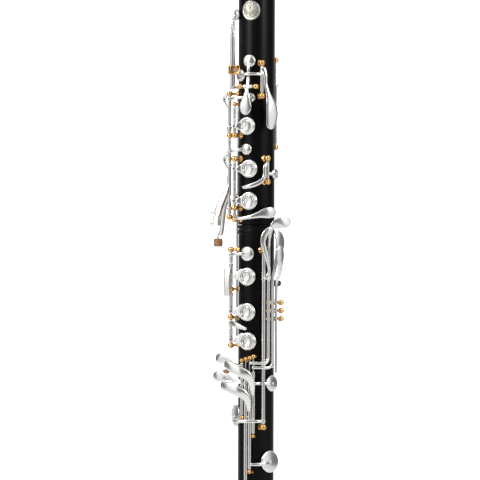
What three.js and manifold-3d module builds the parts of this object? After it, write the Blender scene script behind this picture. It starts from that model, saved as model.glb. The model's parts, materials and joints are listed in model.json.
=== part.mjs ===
// Bass clarinet (Boehm system, low E flat) in millimetres, +Z up along the bore, front at -Y.
// Places on the body are stations [phi, r, z]: phi in degrees round the bore from the front towards +X,
// r from the bore axis, and z above the line where the two wooden joints meet.
import * as THREE from "three";
import { mergeVertices } from "three/addons/utils/BufferGeometryUtils.js";
import Module from "manifold-3d";

const wasm = await Module();
wasm.setup();

// Driving dimensions
const BODY_R = 18.2;
const BORE_R = 11.8;
const UPPER_TOP = 277;
const LOWER_END = -420;
const TENON_R = 14.6;
const TENON_LEN = 18;
const GAP = 0.3;
const FOOT_R = BODY_R + GAP; // where post feet stand
const RIM_R = 19.5; // flat top of each tone-hole rim
const PAD_R = RIM_R + GAP; // underside of a closed pad
const TUBE_R = 1.8;
const TUBE_HOLE = 1.35;
const ROD_R = 0.9;
const SLIM = { tube: 1.6, hole: 1.15, rod: 0.7 };
const BALL_R = 3;
const STRAP_EYE = [180, 27.5, 30];
const SLIVER = 0.06; // facets flatter than this are merged

// Materials
const finish = (color, roughness, metalness) => new THREE.MeshStandardMaterial({ color, roughness, metalness });
const wood = finish(0x101010, 0.45, 0);
const silver = finish(0xe6e6e8, 0.2, 1);
const gold = finish(0xe0a04a, 0.2, 1);
const nickel = finish(0xd8d4c4, 0.35, 1);
const ebonite = finish(0x0c0c0c, 0.2, 0);
const cane = finish(0xd9bd7e, 0.7, 0);
const cork = finish(0x9a6238, 0.9, 0);
const rubber = finish(0x161616, 0.8, 0);
const steel = finish(0xc4c8cc, 0.25, 1);

const clarinet = new THREE.Group();

// Vectors and frames
const rad = (deg) => (deg * Math.PI) / 180;
const outward = (phi) => new THREE.Vector3(Math.sin(rad(phi)), -Math.cos(rad(phi)), 0);
const sideways = (phi) => new THREE.Vector3(Math.cos(rad(phi)), Math.sin(rad(phi)), 0);
const UP = new THREE.Vector3(0, 0, 1);
const point = ([phi, r, z], shift = 0) =>
  outward(phi).multiplyScalar(r).addScaledVector(sideways(phi), shift).setZ(z);

// Solids: a closed geometry as a manifold, turned the right way out
function solid(geometry) {
  const bare = new THREE.BufferGeometry().setAttribute("position", geometry.getAttribute("position"));
  if (geometry.index) bare.setIndex(geometry.index);
  const merged = mergeVertices(bare, 1e-4);
  const triVerts = new Uint32Array(merged.index.array);
  const build = () =>
    new wasm.Manifold(new wasm.Mesh({ numProp: 3, vertProperties: merged.attributes.position.array, triVerts }));
  const made = build();
  if (made.volume() > 0) return made;
  for (let i = 0; i < triVerts.length; i += 3) {
    [triVerts[i + 1], triVerts[i + 2]] = [triVerts[i + 2], triVerts[i + 1]];
  }
  return build();
}

const join = (pieces) => pieces.reduce((all, piece) => all.add(piece));
const cut = (whole, holes) => holes.reduce((left, hole) => left.subtract(hole), whole);

function place(name, made, material) {
  const mesh = made.simplify(SLIVER).getMesh();
  const positions = new Float32Array(mesh.numVert * 3);
  for (let i = 0; i < mesh.numVert; i++) {
    positions.set(mesh.vertProperties.subarray(i * mesh.numProp, i * mesh.numProp + 3), i * 3);
  }
  const geometry = new THREE.BufferGeometry()
    .setAttribute("position", new THREE.BufferAttribute(positions, 3))
    .setIndex(new THREE.BufferAttribute(mesh.triVerts, 1));
  const node = new THREE.Mesh(geometry, material);
  node.name = name;
  clarinet.add(node);
}

// A turned shape: profile [radius, height] along an axis from a base point
function turned(profile, base, axis, sides = 12) {
  const geometry = new THREE.LatheGeometry(profile.map(([r, h]) => new THREE.Vector2(r, h)), sides);
  geometry.applyQuaternion(new THREE.Quaternion().setFromUnitVectors(new THREE.Vector3(0, 1, 0), axis));
  geometry.translate(base.x, base.y, base.z);
  return solid(geometry);
}
const disc = (radius, from, to) => [[0, from], [radius, from], [radius, to], [0, to]];
const cylinder = (radius, from, to, axis, base, sides = 12) => turned(disc(radius, from, to), base, axis, sides);
const upright = (radius, [phi, r], z0, z1, sides = 8) => cylinder(radius, z0, z1, UP, point([phi, r, 0]), sides);
const ORIGIN = new THREE.Vector3();
const aboutBore = (profile, sides = 28) => turned(profile, ORIGIN, UP, sides);

// A bar carried through rows of [phi, r, z, half width, half thickness]; its thickness points out from the bore
function bar(rows, sides = 4) {
  const last = rows.length - 1;
  const curve = new THREE.CatmullRomCurve3(rows.map((row) => point(row)), false, "centripetal");
  const size = (u) => new THREE.Vector2(rows[Math.round(u * last)][3], rows[Math.round(u * last)][4]);
  return sweep(curve, size, last, sides, (p) => p.clone().setZ(0));
}

// An elliptical section (size x across, size y along the facing direction) carried down a curve
function sweep(curve, size, steps, sides, facing) {
  const positions = [];
  const index = [];
  const fill = sides < 6 ? 1.3 : 1;
  for (let s = 0; s <= steps; s++) {
    const at = curve.getPoint(s / steps);
    const along = curve.getTangent(s / steps);
    const normal = facing(at);
    normal.addScaledVector(along, -normal.dot(along)).normalize();
    const across = new THREE.Vector3().crossVectors(along, normal);
    const half = size(s / steps);
    for (let k = 0; k < sides; k++) {
      const turn = (2 * Math.PI * (k + 0.5)) / sides;
      const p = at.clone();
      p.addScaledVector(across, half.x * fill * Math.cos(turn));
      p.addScaledVector(normal, half.y * fill * Math.sin(turn));
      positions.push(p.x, p.y, p.z);
    }
  }
  const ends = [curve.getPoint(0), curve.getPoint(1)];
  for (const end of ends) positions.push(end.x, end.y, end.z);
  const first = (steps + 1) * sides;
  for (let k = 0; k < sides; k++) {
    const next = (k + 1) % sides;
    for (let s = 0; s < steps; s++) {
      const a = s * sides;
      const b = a + sides;
      index.push(a + k, a + next, b + k, a + next, b + next, b + k);
    }
    index.push(first, next, k, first + 1, steps * sides + k, steps * sides + next);
  }
  const geometry = new THREE.BufferGeometry();
  geometry.setAttribute("position", new THREE.Float32BufferAttribute(positions, 3));
  geometry.setIndex(index);
  return solid(geometry);
}

// Posts: a foot on the wood, a thin neck and a ball that the hinge rod runs through
function post([phi, r, z], ball = BALL_R, shift = 0) {
  const head = point([phi, r, z], shift);
  const out = head.clone().setZ(0);
  const reach = out.length();
  const neck = 1.3;
  const profile = [
    [0, FOOT_R], [3, FOOT_R], [neck, FOOT_R + 2], [neck, reach - ball * 0.8],
    [ball * 0.95, reach - ball * 0.35], [ball * 0.95, reach + ball * 0.35], [0, reach + ball],
  ];
  return turned(profile, new THREE.Vector3(0, 0, z), out.normalize(), 8);
}

// A pad cup over a tone hole, closed: pad, cup wall and either a domed top or a finger dish
const CUP_TOP = 23;
const PLATE_TOP = 24.6;
function cup([phi, z], radius, plate = false) {
  const pad = radius - 0.8;
  const lower = [[0, PAD_R], [pad, PAD_R], [pad, PAD_R + 1], [radius, PAD_R + 1]];
  const dome = [[radius, CUP_TOP - 1.2], [radius * 0.6, CUP_TOP], [0, CUP_TOP + 0.4]];
  const top = PLATE_TOP;
  const dish = [[radius, top - 0.6], [radius - 0.5, top], [radius * 0.66, top], [radius * 0.56, top - 0.7], [0, top - 1.2]];
  return turned([...lower, ...(plate ? dish : dome)], new THREE.Vector3(0, 0, z), outward(phi), plate ? 14 : 12);
}
const cupTop = (plate) => (plate ? PLATE_TOP - 1.4 : CUP_TOP - 0.2);

// A hinge tube between two heights on a line, bored for its rod once the key is joined
const tubeOn = ([phi, r], z0, z1, size = TUBE_R) => upright(size, [phi, r], z0, z1, 9);
const boreOn = ([phi, r], z0, z1, hole = TUBE_HOLE) => upright(hole, [phi, r], z0 - 5, z1 + 5, 6);

// Turns a key built with its pad shut to the angle it stands open at
function openBy(made, [phi, r], degrees) {
  const hinge = point([phi, r, 0]);
  return made.translate([-hinge.x, -hinge.y, 0]).rotate([0, 0, degrees]).translate([hinge.x, hinge.y, 0]);
}

// Hinge lines [phi, r]
const LINE = {
  side: [-61, 27.3],
  upper: [-36, 26.5],
  gSharp: [31, 27],
  sliver: [44.5, 26.5],
  thumb: [154, 26.5],
  lower: [-52, 26.5],
  long: [35.5, 27],
  pinky1: [14.1, 27],
  pinky2: [6.2, 27],
  pinky3: [-2.4, 27],
  pinky4: [-11.6, 27],
  lowE: [18, 27],
};

// How far each family of open keys stands off its tone hole, in degrees about its tube
const LEFT_OPEN = -7;
const THUMB_OPEN = -6;
const RIGHT_OPEN = -6;
const PINKY_OPEN = 4;

// Tone holes [phi, z, cup radius, on the upper joint]
const HOLES = {
  register: [-54, 210, 6],
  throatA: [0, 163.5, 6.3],
  gSharp: [-28, 149, 6],
  sideHigh: [4, 127, 4.6],
  left1: [-4, 98.7, 9],
  sideLow: [-8, 75.5, 5.7],
  left2: [2, 56, 9],
  sliver: [81, 51, 5.7],
  cSharp: [-48, 27, 4.6],
  left3: [2, 24, 9],
  thumb: [180, 92, 8],
  rightVent: [-1, -28.7, 7.2],
  right1: [-1, -51.5, 9],
  right2: [-1, -86.8, 9],
  rightSliver: [-90, -98, 5.5],
  right3: [1.5, -116, 9],
  pinky1: [67, -158, 8],
  longKey: [-49, -190, 11],
  pinky2: [60, -236, 11],
  pinky3: [-40, -292, 12.5],
  lowE: [52, -330, 13],
};

const rodThrough = (line, z0, z1, rod = ROD_R) => upright(rod, line, z0, z1, 6);

// ---- Wooden joints -----------------------------------------------------------------------------------------------
function woodenJoint(outline, bore, upperJoint) {
  const rims = [];
  const holes = [];
  for (const [phi, z, radius] of Object.values(HOLES)) {
    if (z > 0 !== upperJoint) continue;
    const at = new THREE.Vector3(0, 0, z);
    rims.push(cylinder(radius - 1.6, BORE_R + 3, RIM_R, outward(phi), at, 10));
    holes.push(cylinder(radius - 3.2, 0, RIM_R + 1, outward(phi), at, 6));
  }
  return cut(join([aboutBore(outline), ...rims]), [bore, ...holes]);
}

const BEAD = 0.5;
const upperOutline = [
  [0, -TENON_LEN], [TENON_R, -TENON_LEN], [TENON_R, GAP], [BODY_R, GAP],
  [BODY_R, UPPER_TOP - 18], [TENON_R + 2, UPPER_TOP - 18], [TENON_R + 2, UPPER_TOP], [0, UPPER_TOP],
];
const upperBore = aboutBore(disc(BORE_R, -TENON_LEN - 5, UPPER_TOP + 5), 24);
place("upper_joint", woodenJoint(upperOutline, upperBore, true), wood);

const lowerOutline = [
  [0, LOWER_END], [TENON_R + 1, LOWER_END], [TENON_R + 1, LOWER_END + 20], [BODY_R - 0.3, LOWER_END + 20],
  [BODY_R - 0.3, -9], [BODY_R + BEAD, -8], [BODY_R + BEAD, -5.5], [BODY_R - 0.3, -4.5], [BODY_R, -3.5],
  [BODY_R + BEAD, -2.5], [BODY_R + BEAD, 0], [0, 0],
];
const lowerBore = join([
  aboutBore(disc(BORE_R, LOWER_END - 5, 5), 24),
  aboutBore(disc(TENON_R + 1.1, -TENON_LEN - GAP, 5), 24),
]);
place("lower_joint", woodenJoint(lowerOutline, lowerBore, false), wood);

// Cork band in the groove of the middle tenon
const corkBand = [[TENON_R + GAP, -15], [TENON_R + 0.8, -15], [TENON_R + 0.8, -3], [TENON_R + GAP, -3]];
place("middle_tenon_cork", aboutBore([...corkBand, corkBand[0]], 24), cork);

// Metal socket that takes the neck
const socket = [
  [TENON_R + 2 + GAP, UPPER_TOP - 17], [BODY_R + 1, UPPER_TOP - 17], [BODY_R + 1, UPPER_TOP - 13],
  [BODY_R - 0.2, UPPER_TOP - 12], [BODY_R - 0.2, UPPER_TOP + 2], [BODY_R + 1, UPPER_TOP + 3],
  [BODY_R + 1, UPPER_TOP + 6], [14.4, UPPER_TOP + 6], [14.4, UPPER_TOP + GAP], [TENON_R + 2 + GAP, UPPER_TOP + GAP],
];
place("neck_socket", aboutBore([...socket, socket[0]]), silver);

// Round badge on the front, curved to the body
const BADGE = { radius: 9.8, z: 214, thick: 0.6 };
const badgeRing = aboutBore(disc(FOOT_R + BADGE.thick, BADGE.z - 12, BADGE.z + 12), 64);
const badgeCore = aboutBore(disc(FOOT_R, BADGE.z - 13, BADGE.z + 13), 64);
const badgeBlank = cylinder(BADGE.radius, 12, 25, outward(0), new THREE.Vector3(0, 0, BADGE.z), 20);
place("badge", badgeBlank.intersect(badgeRing).subtract(badgeCore), nickel);

// ---- Upper joint keys ---------------------------------------------------------------------------------------------
// Register key: a long tube on a slotted gold saddle, cup at the top
const REGISTER = { phi: -56, r: 24.8, pivot: 155 };
const registerPin = (radius, half) =>
  cylinder(radius, -half, half, sideways(REGISTER.phi), point([REGISTER.phi, REGISTER.r, REGISTER.pivot]), 8);
function registerSaddle() {
  const at = new THREE.Vector3(0, 0, REGISTER.pivot);
  const barrel = cylinder(5, FOOT_R, 28.3, outward(REGISTER.phi), at, 16);
  const slot = new THREE.BoxGeometry(6.6, 14, 12);
  const turnTo = new THREE.Matrix4().makeBasis(sideways(REGISTER.phi), UP, outward(REGISTER.phi));
  slot.applyMatrix4(turnTo.setPosition(point([REGISTER.phi, 27, REGISTER.pivot])));
  return barrel.subtract(solid(slot)).add(registerPin(ROD_R, 4.6));
}
place("register_saddle", registerSaddle(), gold);

const registerLever = bar([
  [-56, 24.6, 136, 2.4, 2.3], [-56, 24.65, 150, 2.7, 2.6], [-56.1, 24.7, 185, 2.7, 2.6],
  [-55.5, 24.4, 198, 2.4, 2], [-54, 23.1, 210.3, 2, 1.1],
], 6);
const registerKey = join([registerLever, cup(HOLES.register, HOLES.register[2])]);
place("register_key", registerKey.subtract(registerPin(TUBE_HOLE, 8)), silver);

// Throat A key: a see-saw over a cross rod
const A_PIVOT = { r: 25.5, z: 138, half: 8.2 };
const aAcross = (radius, from, to, sides = 10) =>
  cylinder(radius, from, to, sideways(0), point([0, A_PIVOT.r, A_PIVOT.z]), sides);
place("throat_a_posts", join([
  post([0, A_PIVOT.r, A_PIVOT.z], 2.8, A_PIVOT.half),
  post([0, A_PIVOT.r, A_PIVOT.z], 2.8, -A_PIVOT.half),
  aAcross(ROD_R, -A_PIVOT.half, A_PIVOT.half, 8),
]), gold);
place("throat_a_key", join([
  cup(HOLES.throatA, HOLES.throatA[2]),
  bar([[0, 23.2, 164, 1.6, 0.8], [0, 24.6, 156, 1.4, 0.9], [0, 24.8, 150, 1.4, 0.9], [0, 26.4, 140, 1.5, 1.2],
    [0, 28, 135, 1.6, 1]]),
  bar([[0, 28, 136, 1.4, 0.8], [-0.5, 29.6, 131, 2.4, 0.9], [-1, 30.6, 124, 5, 0.9], [-1.5, 30.9, 117, 6.2, 0.9],
    [-1.5, 30.6, 111.5, 4.6, 0.8], [-1.5, 30.4, 109.5, 1, 0.5]]),
  aAcross(TUBE_R, -4.8, 4.8),
]).subtract(aAcross(TUBE_HOLE, -9, 9, 8)), silver);

// G sharp key: upright tube, arm across the front, leaf on the right
place("g_sharp_posts", join([
  post([...LINE.gSharp, 161.5]),
  post([...LINE.gSharp, 128.5]),
  rodThrough(LINE.gSharp, 128.5, 161.5),
]), gold);
place("g_sharp_key", join([
  tubeOn(LINE.gSharp, 131.9, 158.1),
  bar([[31, 28, 150, 1.3, 1.2], [16, 30.2, 150.4, 1.3, 1.2], [0, 30.6, 150.2, 1.3, 1.2], [-14, 28.4, 149.6, 1.3, 1],
    [-27, 23, 149, 1.8, 0.8]]),
  cup(HOLES.gSharp, HOLES.gSharp[2]),
  bar([[33, 27.6, 157, 2.6, 1], [37.5, 28.6, 150, 2, 1], [38.5, 28.8, 140, 1.8, 1], [43, 29.8, 130, 2.6, 1],
    [47.4, 31, 120, 4.8, 1], [49, 31.4, 110, 6, 1], [47, 31.2, 100, 4.6, 0.9], [44.8, 31, 95.6, 1, 0.5]]),
]).subtract(boreOn(LINE.gSharp, 131.9, 158.1)), silver);

// Side keys: two tubes on one long line; each touch hangs beside the joint for the right first finger
place("side_line_posts", join([
  post([...LINE.side, 131]),
  post([...LINE.side, 89.5]),
  post([...LINE.side, 8]),
  rodThrough(LINE.side, 8, 131),
]), gold);
place("side_key_high", join([
  tubeOn(LINE.side, 92.9, 127.6),
  cup(HOLES.sideHigh, HOLES.sideHigh[2]),
  bar([[-58, 27.6, 125.6, 1.3, 1.2], [-44, 29.4, 126, 1.4, 1], [-30, 28.4, 126.4, 1.3, 0.9], [-14, 25.4, 127, 1.3, 0.9],
    [2, 23, 127, 1.6, 0.7]]),
  bar([[-63, 28.4, 97, 1.6, 1], [-75, 29.4, 96.4, 1.5, 0.9], [-89, 30, 93, 1.5, 0.9], [-98, 30.4, 82, 1.5, 0.9],
    [-98, 30.4, 52, 1.5, 0.9], [-92, 30.2, 38, 1.7, 0.9], [-84, 30.6, 28, 1.6, 1.4], [-76, 30.6, 25, 0.9, 2.2],
    [-75, 32.9, 12, 0.9, 2.5], [-75, 34.2, 0, 0.9, 2.5], [-75, 35.6, -10, 1, 2.4], [-74, 37.6, -14.5, 3, 3.4],
    [-73, 38.2, -21.4, 3, 3.4]]),
]).subtract(boreOn(LINE.side, 92.9, 127.6)), silver);
place("side_key_low", join([
  tubeOn(LINE.side, 11.4, 86.1),
  bar([[-58, 28, 73, 1.3, 1.1], [-40, 29.4, 73.6, 1.3, 1], [-24, 27, 74.6, 1.4, 0.9], [-10, 23, 75.4, 1.8, 0.7]]),
  cup(HOLES.sideLow, HOLES.sideLow[2]),
  bar([[-61, 28.4, 48, 1, 1.5], [-61, 28.8, 40, 0.9, 1.9], [-61, 30.9, 32, 0.9, 3], [-61, 34.7, 24, 0.9, 3.9],
    [-61, 37.7, 16, 0.9, 4.3], [-60.5, 40, 10, 1.6, 4.1], [-60, 41, -0.6, 1.6, 4]]),
]).subtract(boreOn(LINE.side, 11.4, 86.1)), silver);

// Left first finger plate
const plateArm = (line, phi, z, lift = 27.4) =>
  bar([[line[0] + 3, lift, z, 1.6, 1.2], [line[0] * 0.72, lift + 0.8, z, 2, 0.9], [line[0] * 0.42, 26, z, 4, 0.9],
    [phi - 8, cupTop(true), z, 5.2, 0.8]]);
place("left_key_1_posts", join([
  post([...LINE.upper, 120.5], 2.4),
  post([...LINE.upper, 89.5]),
  rodThrough(LINE.upper, 89.5, 120.5),
]), gold);
place("left_key_1", openBy(join([
  tubeOn(LINE.upper, 92.9, 117.7),
  cup(HOLES.left1, 9, true),
  plateArm(LINE.upper, -4, 98.7),
]), LINE.upper, LEFT_OPEN).subtract(boreOn(LINE.upper, 92.9, 117.7)), silver);

// Left second and third finger plates
place("upper_stack_posts", join([
  post([...LINE.upper, 66], 3.3),
  post([...LINE.upper, 17]),
  post([...LINE.upper, 5.2], 2.6),
  rodThrough(LINE.upper, 5.2, 66),
]), gold);
place("left_key_2", openBy(join([
  tubeOn(LINE.upper, 43.4, 62.3),
  cup(HOLES.left2, 9, true),
  plateArm(LINE.upper, 2, 56),
]), LINE.upper, LEFT_OPEN).subtract(boreOn(LINE.upper, 43.4, 62.3)), silver);
place("left_key_3", openBy(join([
  tubeOn(LINE.upper, 20.4, 42.8),
  cup(HOLES.left3, 9, true),
  plateArm(LINE.upper, 2, 24),
]), LINE.upper, LEFT_OPEN).subtract(boreOn(LINE.upper, 20.4, 42.8)), silver);

// Left C sharp key: touch across the front of the joint
place("left_c_sharp_key", join([
  tubeOn(LINE.upper, 8.4, 13.6),
  bar([[-34, 27.6, 11, 1.3, 1.2], [-27, 29, 8, 1.5, 1], [-14, 29.6, 6.4, 1.6, 1], [8, 29.6, 8, 1.9, 1],
    [24, 30, 10, 3, 1], [36, 30.6, 11.6, 5.2, 1], [47, 31, 12.6, 5.2, 1], [56, 31, 12.8, 2.6, 0.8]]),
  bar([[-37, 25.2, 11, 1.3, 1], [-44, 23.4, 14, 1.2, 0.8], [-47, 22.8, 20, 1.2, 0.7], [-48, 22.6, 26.5, 1.6, 0.7]]),
  cup(HOLES.cSharp, HOLES.cSharp[2]),
]).subtract(boreOn(LINE.upper, 8.4, 13.6)), silver);

// Left sliver key: tube on the right, curved touch between the second and third plates, cup on the right side
place("left_sliver_posts", join([
  post([...LINE.sliver, 66.5]),
  post([...LINE.sliver, 43]),
  rodThrough(LINE.sliver, 43, 66.5),
]), gold);
place("left_sliver_key", join([
  tubeOn(LINE.sliver, 46.4, 63.1),
  bar([[43, 27, 61, 2.4, 0.9], [37, 28.2, 58, 1.6, 0.9], [36.6, 28.4, 50, 1.7, 0.9], [32, 28.8, 45, 2, 0.9],
    [20, 29, 41, 2.4, 0.9], [5, 28.8, 38.6, 2.1, 0.9], [-12, 27.8, 37, 0.7, 0.5]]),
  bar([[46, 27.4, 51, 1.4, 1], [60, 27.4, 51, 1.4, 0.9], [72, 25, 51, 1.6, 0.8], [80, CUP_TOP, 51, 2, 0.7]]),
  cup(HOLES.sliver, HOLES.sliver[2]),
]).subtract(boreOn(LINE.sliver, 46.4, 63.1)), silver);

// Thumb plate and thumb register lever at the back share a line
place("thumb_line_posts", join([
  post([...LINE.thumb, 165.5]),
  post([...LINE.thumb, 78]),
  rodThrough(LINE.thumb, 78, 165.5),
]), gold);
place("thumb_plate_key", openBy(join([
  tubeOn(LINE.thumb, 81.4, 104),
  cup(HOLES.thumb, 8, true),
  bar([[156, 27.6, 92, 1.6, 1.1], [164, 27, 92, 3, 0.9], [174, cupTop(true), 92, 4.4, 0.8]]),
]), LINE.thumb, THUMB_OPEN).subtract(boreOn(LINE.thumb, 81.4, 104)), silver);
place("thumb_register_lever", join([
  tubeOn(LINE.thumb, 104.6, 162.1),
  bar([[156, 27.8, 112, 1.6, 1], [168, 29, 111, 3.4, 1], [184, 29.4, 110, 5, 1], [200, 28.6, 110, 2.4, 0.8]]),
  bar([[156, 27.8, 140, 1.4, 1], [180, 28.4, 140, 1.4, 1], [210, 27.6, 139, 1.4, 1], [240, 27, 138, 1.4, 1],
    [272, 26.6, 137.6, 1.4, 0.9], [288, 26.4, 137.6, 1.6, 0.8]]),
]).subtract(boreOn(LINE.thumb, 104.6, 162.1)), silver);

// ---- Lower joint keys ----------------------------------------------------------------------------------------------
place("lower_stack_posts", join([
  post([...LINE.lower, -24.5]),
  post([...LINE.lower, -64]),
  post([...LINE.lower, -92]),
  post([...LINE.lower, -120]),
  rodThrough(LINE.lower, -120, -24.5),
]), gold);
place("right_vent_key", openBy(join([
  tubeOn(LINE.lower, -37.6, -27.9),
  cup(HOLES.rightVent, HOLES.rightVent[2]),
  bar([[-50, 27.8, -30, 1.3, 1.1], [-34, 28.4, -29.4, 1.4, 0.9], [-16, 26, -28.9, 1.5, 0.9], [-4, CUP_TOP, -28.7, 1.4, 0.8]]),
]), LINE.lower, RIGHT_OPEN).subtract(boreOn(LINE.lower, -37.6, -27.9)), silver);
const bridge = bar([[-52, 27.6, -45, 1.6, 1.2], [-49, 30, -45, 1.8, 1.2], [-48, 31.4, -48, 1.2, 2.4],
  [-48, 31.8, -71, 1.2, 2.4]]);
const rightKey = (name, hole, z0, z1, armZ, extra = []) =>
  place(name, openBy(join([tubeOn(LINE.lower, z0, z1), cup(hole, 9, true), plateArm(LINE.lower, hole[0], armZ), ...extra]),
    LINE.lower, RIGHT_OPEN).subtract(boreOn(LINE.lower, z0, z1)), silver);
rightKey("right_key_1", HOLES.right1, -60.6, -38.2, -50.5, [bridge]);
rightKey("right_key_2", HOLES.right2, -88.6, -67.4, -86);
rightKey("right_key_3", HOLES.right3, -116.6, -103, -114.5);
place("right_sliver_key", join([
  tubeOn(LINE.lower, -102.4, -95.4),
  bar([[-50, 27.8, -97, 1.6, 1], [-38, 29, -97.8, 2.2, 0.9], [-24, 29, -100, 2.3, 0.9], [-6, 28, -103.4, 0.8, 0.5]]),
  bar([[-56, 27.4, -98, 1.3, 1], [-72, 27, -98, 1.4, 0.9], [-86, 23.6, -98, 1.8, 0.8]]),
  cup(HOLES.rightSliver, HOLES.rightSliver[2]),
]).subtract(boreOn(LINE.lower, -102.4, -95.4)), silver);

// Long key: a tube down the front with the topmost leaf for the left little finger, cup at the lower left
place("long_key_posts", join([
  post([...LINE.long, -25]),
  post([...LINE.long, -201.5]),
  rodThrough(LINE.long, -201.5, -25),
]), gold);
place("left_e_flat_key", join([
  tubeOn(LINE.long, -198.1, -28.4),
  bar([[37, 27.8, -54, 1.8, 0.8], [43, 28, -51, 1.6, 0.7], [46.5, 28.2, -44, 1.4, 0.7], [46.5, 28.4, -22, 1.4, 0.7],
    [47, 29, -10, 1.5, 0.8], [49, 30.6, -3, 2, 0.9], [56, 33, 1.6, 4.4, 1], [66, 36.4, 3.4, 6, 1], [74, 39, 3.4, 4.6, 1], [78, 40.4, 3, 1, 0.6]]),
  bar([[34, 28.6, -195.5, 1.6, 1.2], [20, 31, -195.5, 1.6, 1.1], [0, 31.6, -195.5, 1.6, 1.1], [-20, 31, -195.5, 1.6, 1.1],
    [-36, 27.6, -194, 1.6, 1.1], [-46, 23, -191.4, 2.2, 1]]),
  cup(HOLES.longKey, HOLES.longKey[2]),
]).subtract(boreOn(LINE.long, -198.1, -28.4)), silver);

// Left little-finger levers: see-saws on three cross rods
const PIVOT = { phi: 61, r: 23.4, left: -6.5, right: 12.5, ball: 1.8 };
const pivotRod = (z, radius, from, to, sides) =>
  cylinder(radius, from, to, sideways(PIVOT.phi), point([PIVOT.phi, PIVOT.r, z]), sides);
function leverPosts(name, z) {
  place(name, join([
    post([PIVOT.phi, PIVOT.r, z], PIVOT.ball, PIVOT.left),
    post([PIVOT.phi, PIVOT.r, z], 2.9, PIVOT.right),
    pivotRod(z, ROD_R, PIVOT.left, PIVOT.right, 8),
  ]), gold);
}
const LEVER_Z = [-77.3, -85.4, -93.5];
leverPosts("lever_posts_1", LEVER_Z[0]);
leverPosts("lever_posts_2", LEVER_Z[1]);
leverPosts("lever_posts_3", LEVER_Z[2]);
const LEVER_R = 29.6;
const lever = (name, z, rows, web, from, to) =>
  place(name, join([bar(rows), bar(web), pivotRod(z, TUBE_R, from, to, 10)])
    .subtract(pivotRod(z, TUBE_HOLE, from - 5, to + 5, 8)), silver);
lever("left_lever_1", LEVER_Z[0], [
  [47, 35, -3.6, 1.4, 0.9], [40.5, 35, -5, 2.8, 1], [33.5, 34.8, -10, 3, 1], [31.2, 34.4, -17, 2.7, 1],
  [34.4, 33.8, -25, 2.4, 1], [38.6, 33.4, -33, 2, 1], [42.6, 32.6, -42, 1.6, 0.9], [44.2, 31.4, -52, 1.6, 0.9],
  [44.2, LEVER_R, -62, 1.6, 0.9], [44.2, LEVER_R, -128, 1.6, 0.9],
  [43, 30, -134, 1.6, 1], [37, 31, -137.4, 1.5, 1], [24, 31, -137.6, 1.5, 1], [7, 30.6, -137.4, 1.5, 0.9],
], [[44.2, 29, -77.3, 1.4, 0.9], [47.5, 27.8, -77.3, 1.4, 0.9], [52.5, 26.7, -77.3, 1.4, 0.9],
  [57, 24.4, -77.3, 1.4, 0.9]], -3.4, 1.6);
lever("left_lever_2", LEVER_Z[1], [
  [58, 32.4, -6, 2, 0.7], [62, 33.4, -11, 5, 0.9], [65, 33.6, -17, 6, 0.9], [64, 33, -25, 5.2, 0.9],
  [60, 31.8, -35, 3, 0.9], [56, 30.6, -46, 1.8, 0.9], [53.1, LEVER_R, -62, 1.6, 0.9], [53.1, LEVER_R, -134, 1.6, 0.9],
  [51, 30, -139, 1.6, 1], [44, 31, -141.9, 1.5, 1], [30, 31, -142, 1.5, 1], [12, 30.8, -142, 1.5, 0.9],
], [[53.1, 29.2, -85.4, 1.4, 1], [57, 27.6, -85.4, 1.4, 1], [60, 25.2, -85.4, 1.4, 1]], -3.4, 3.4);
lever("left_lever_3", LEVER_Z[2], [
  [56, 38, -19.6, 1, 0.7], [57, 38.6, -23, 4.2, 0.9], [58.6, 38.4, -30, 4.6, 0.9], [60, 37.6, -38, 3.2, 0.9],
  [61.4, 34.6, -50, 2, 0.9], [62.3, LEVER_R, -64, 1.4, 0.9], [62.3, LEVER_R, -140, 1.4, 0.9], [62, 29, -145, 1.2, 0.8],
], [[62.3, 29.2, -93.5, 1.4, 1], [62, 27.4, -93.5, 1.4, 1], [61.5, 25.2, -93.5, 1.4, 1]], -2.4, 4.4);

// Right little-finger keys: four slim tubes side by side under one top rib
const PINKY = [LINE.pinky1, LINE.pinky2, LINE.pinky3, LINE.pinky4];
const PINKY_TOP = [-131, -132.4, -133.6, -135];
const PINKY_END = [-210.5, -246, -313, -191.8];
const PINKY_BALL = [1.8, 2.1, 2.6, 2.2];
function pinkyPosts() {
  const pieces = PINKY.map((line, i) => rodThrough(line, PINKY_END[i], PINKY_TOP[i], SLIM.rod));
  const heads = PINKY.map((line, i) => post([...line, PINKY_TOP[i]], 2.2));
  const ends = PINKY.map((line, i) => post([...line, PINKY_END[i]], PINKY_BALL[i]));
  return join([...heads, ...pieces, ...ends]);
}
place("pinky_posts", pinkyPosts(), gold);
const pinkyTube = (i, z0, z1) => tubeOn(PINKY[i], z0, z1, SLIM.tube);
const pinkyBore = (i, z0, z1) => boreOn(PINKY[i], z0, z1, SLIM.hole);
place("right_pinky_key_1", join([
  pinkyTube(0, -207.5, -146),
  bar([[13, 28.8, -170, 1.4, 0.9], [13.4, 30.6, -163, 2.2, 1.2], [11, 32.4, -155, 3.4, 1.8], [4, 34.2, -149.4, 4.6, 2.5],
    [-7, 35.4, -146, 5, 2.7], [-20, 36, -142, 5, 2.7], [-32, 36.6, -138.8, 4.8, 2.7], [-37, 36.8, -137.6, 2.6, 1.6]]),
  bar([[15, 26.4, -158, 1.3, 1], [21, 24, -158, 1.4, 0.9], [30, 23.2, -158, 1.4, 0.8], [46, 23, -158, 1.4, 0.8], [60, CUP_TOP, -158, 2, 0.7]]),
  cup(HOLES.pinky1, 8),
]).subtract(pinkyBore(0, -207.5, -146)), silver);
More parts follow.
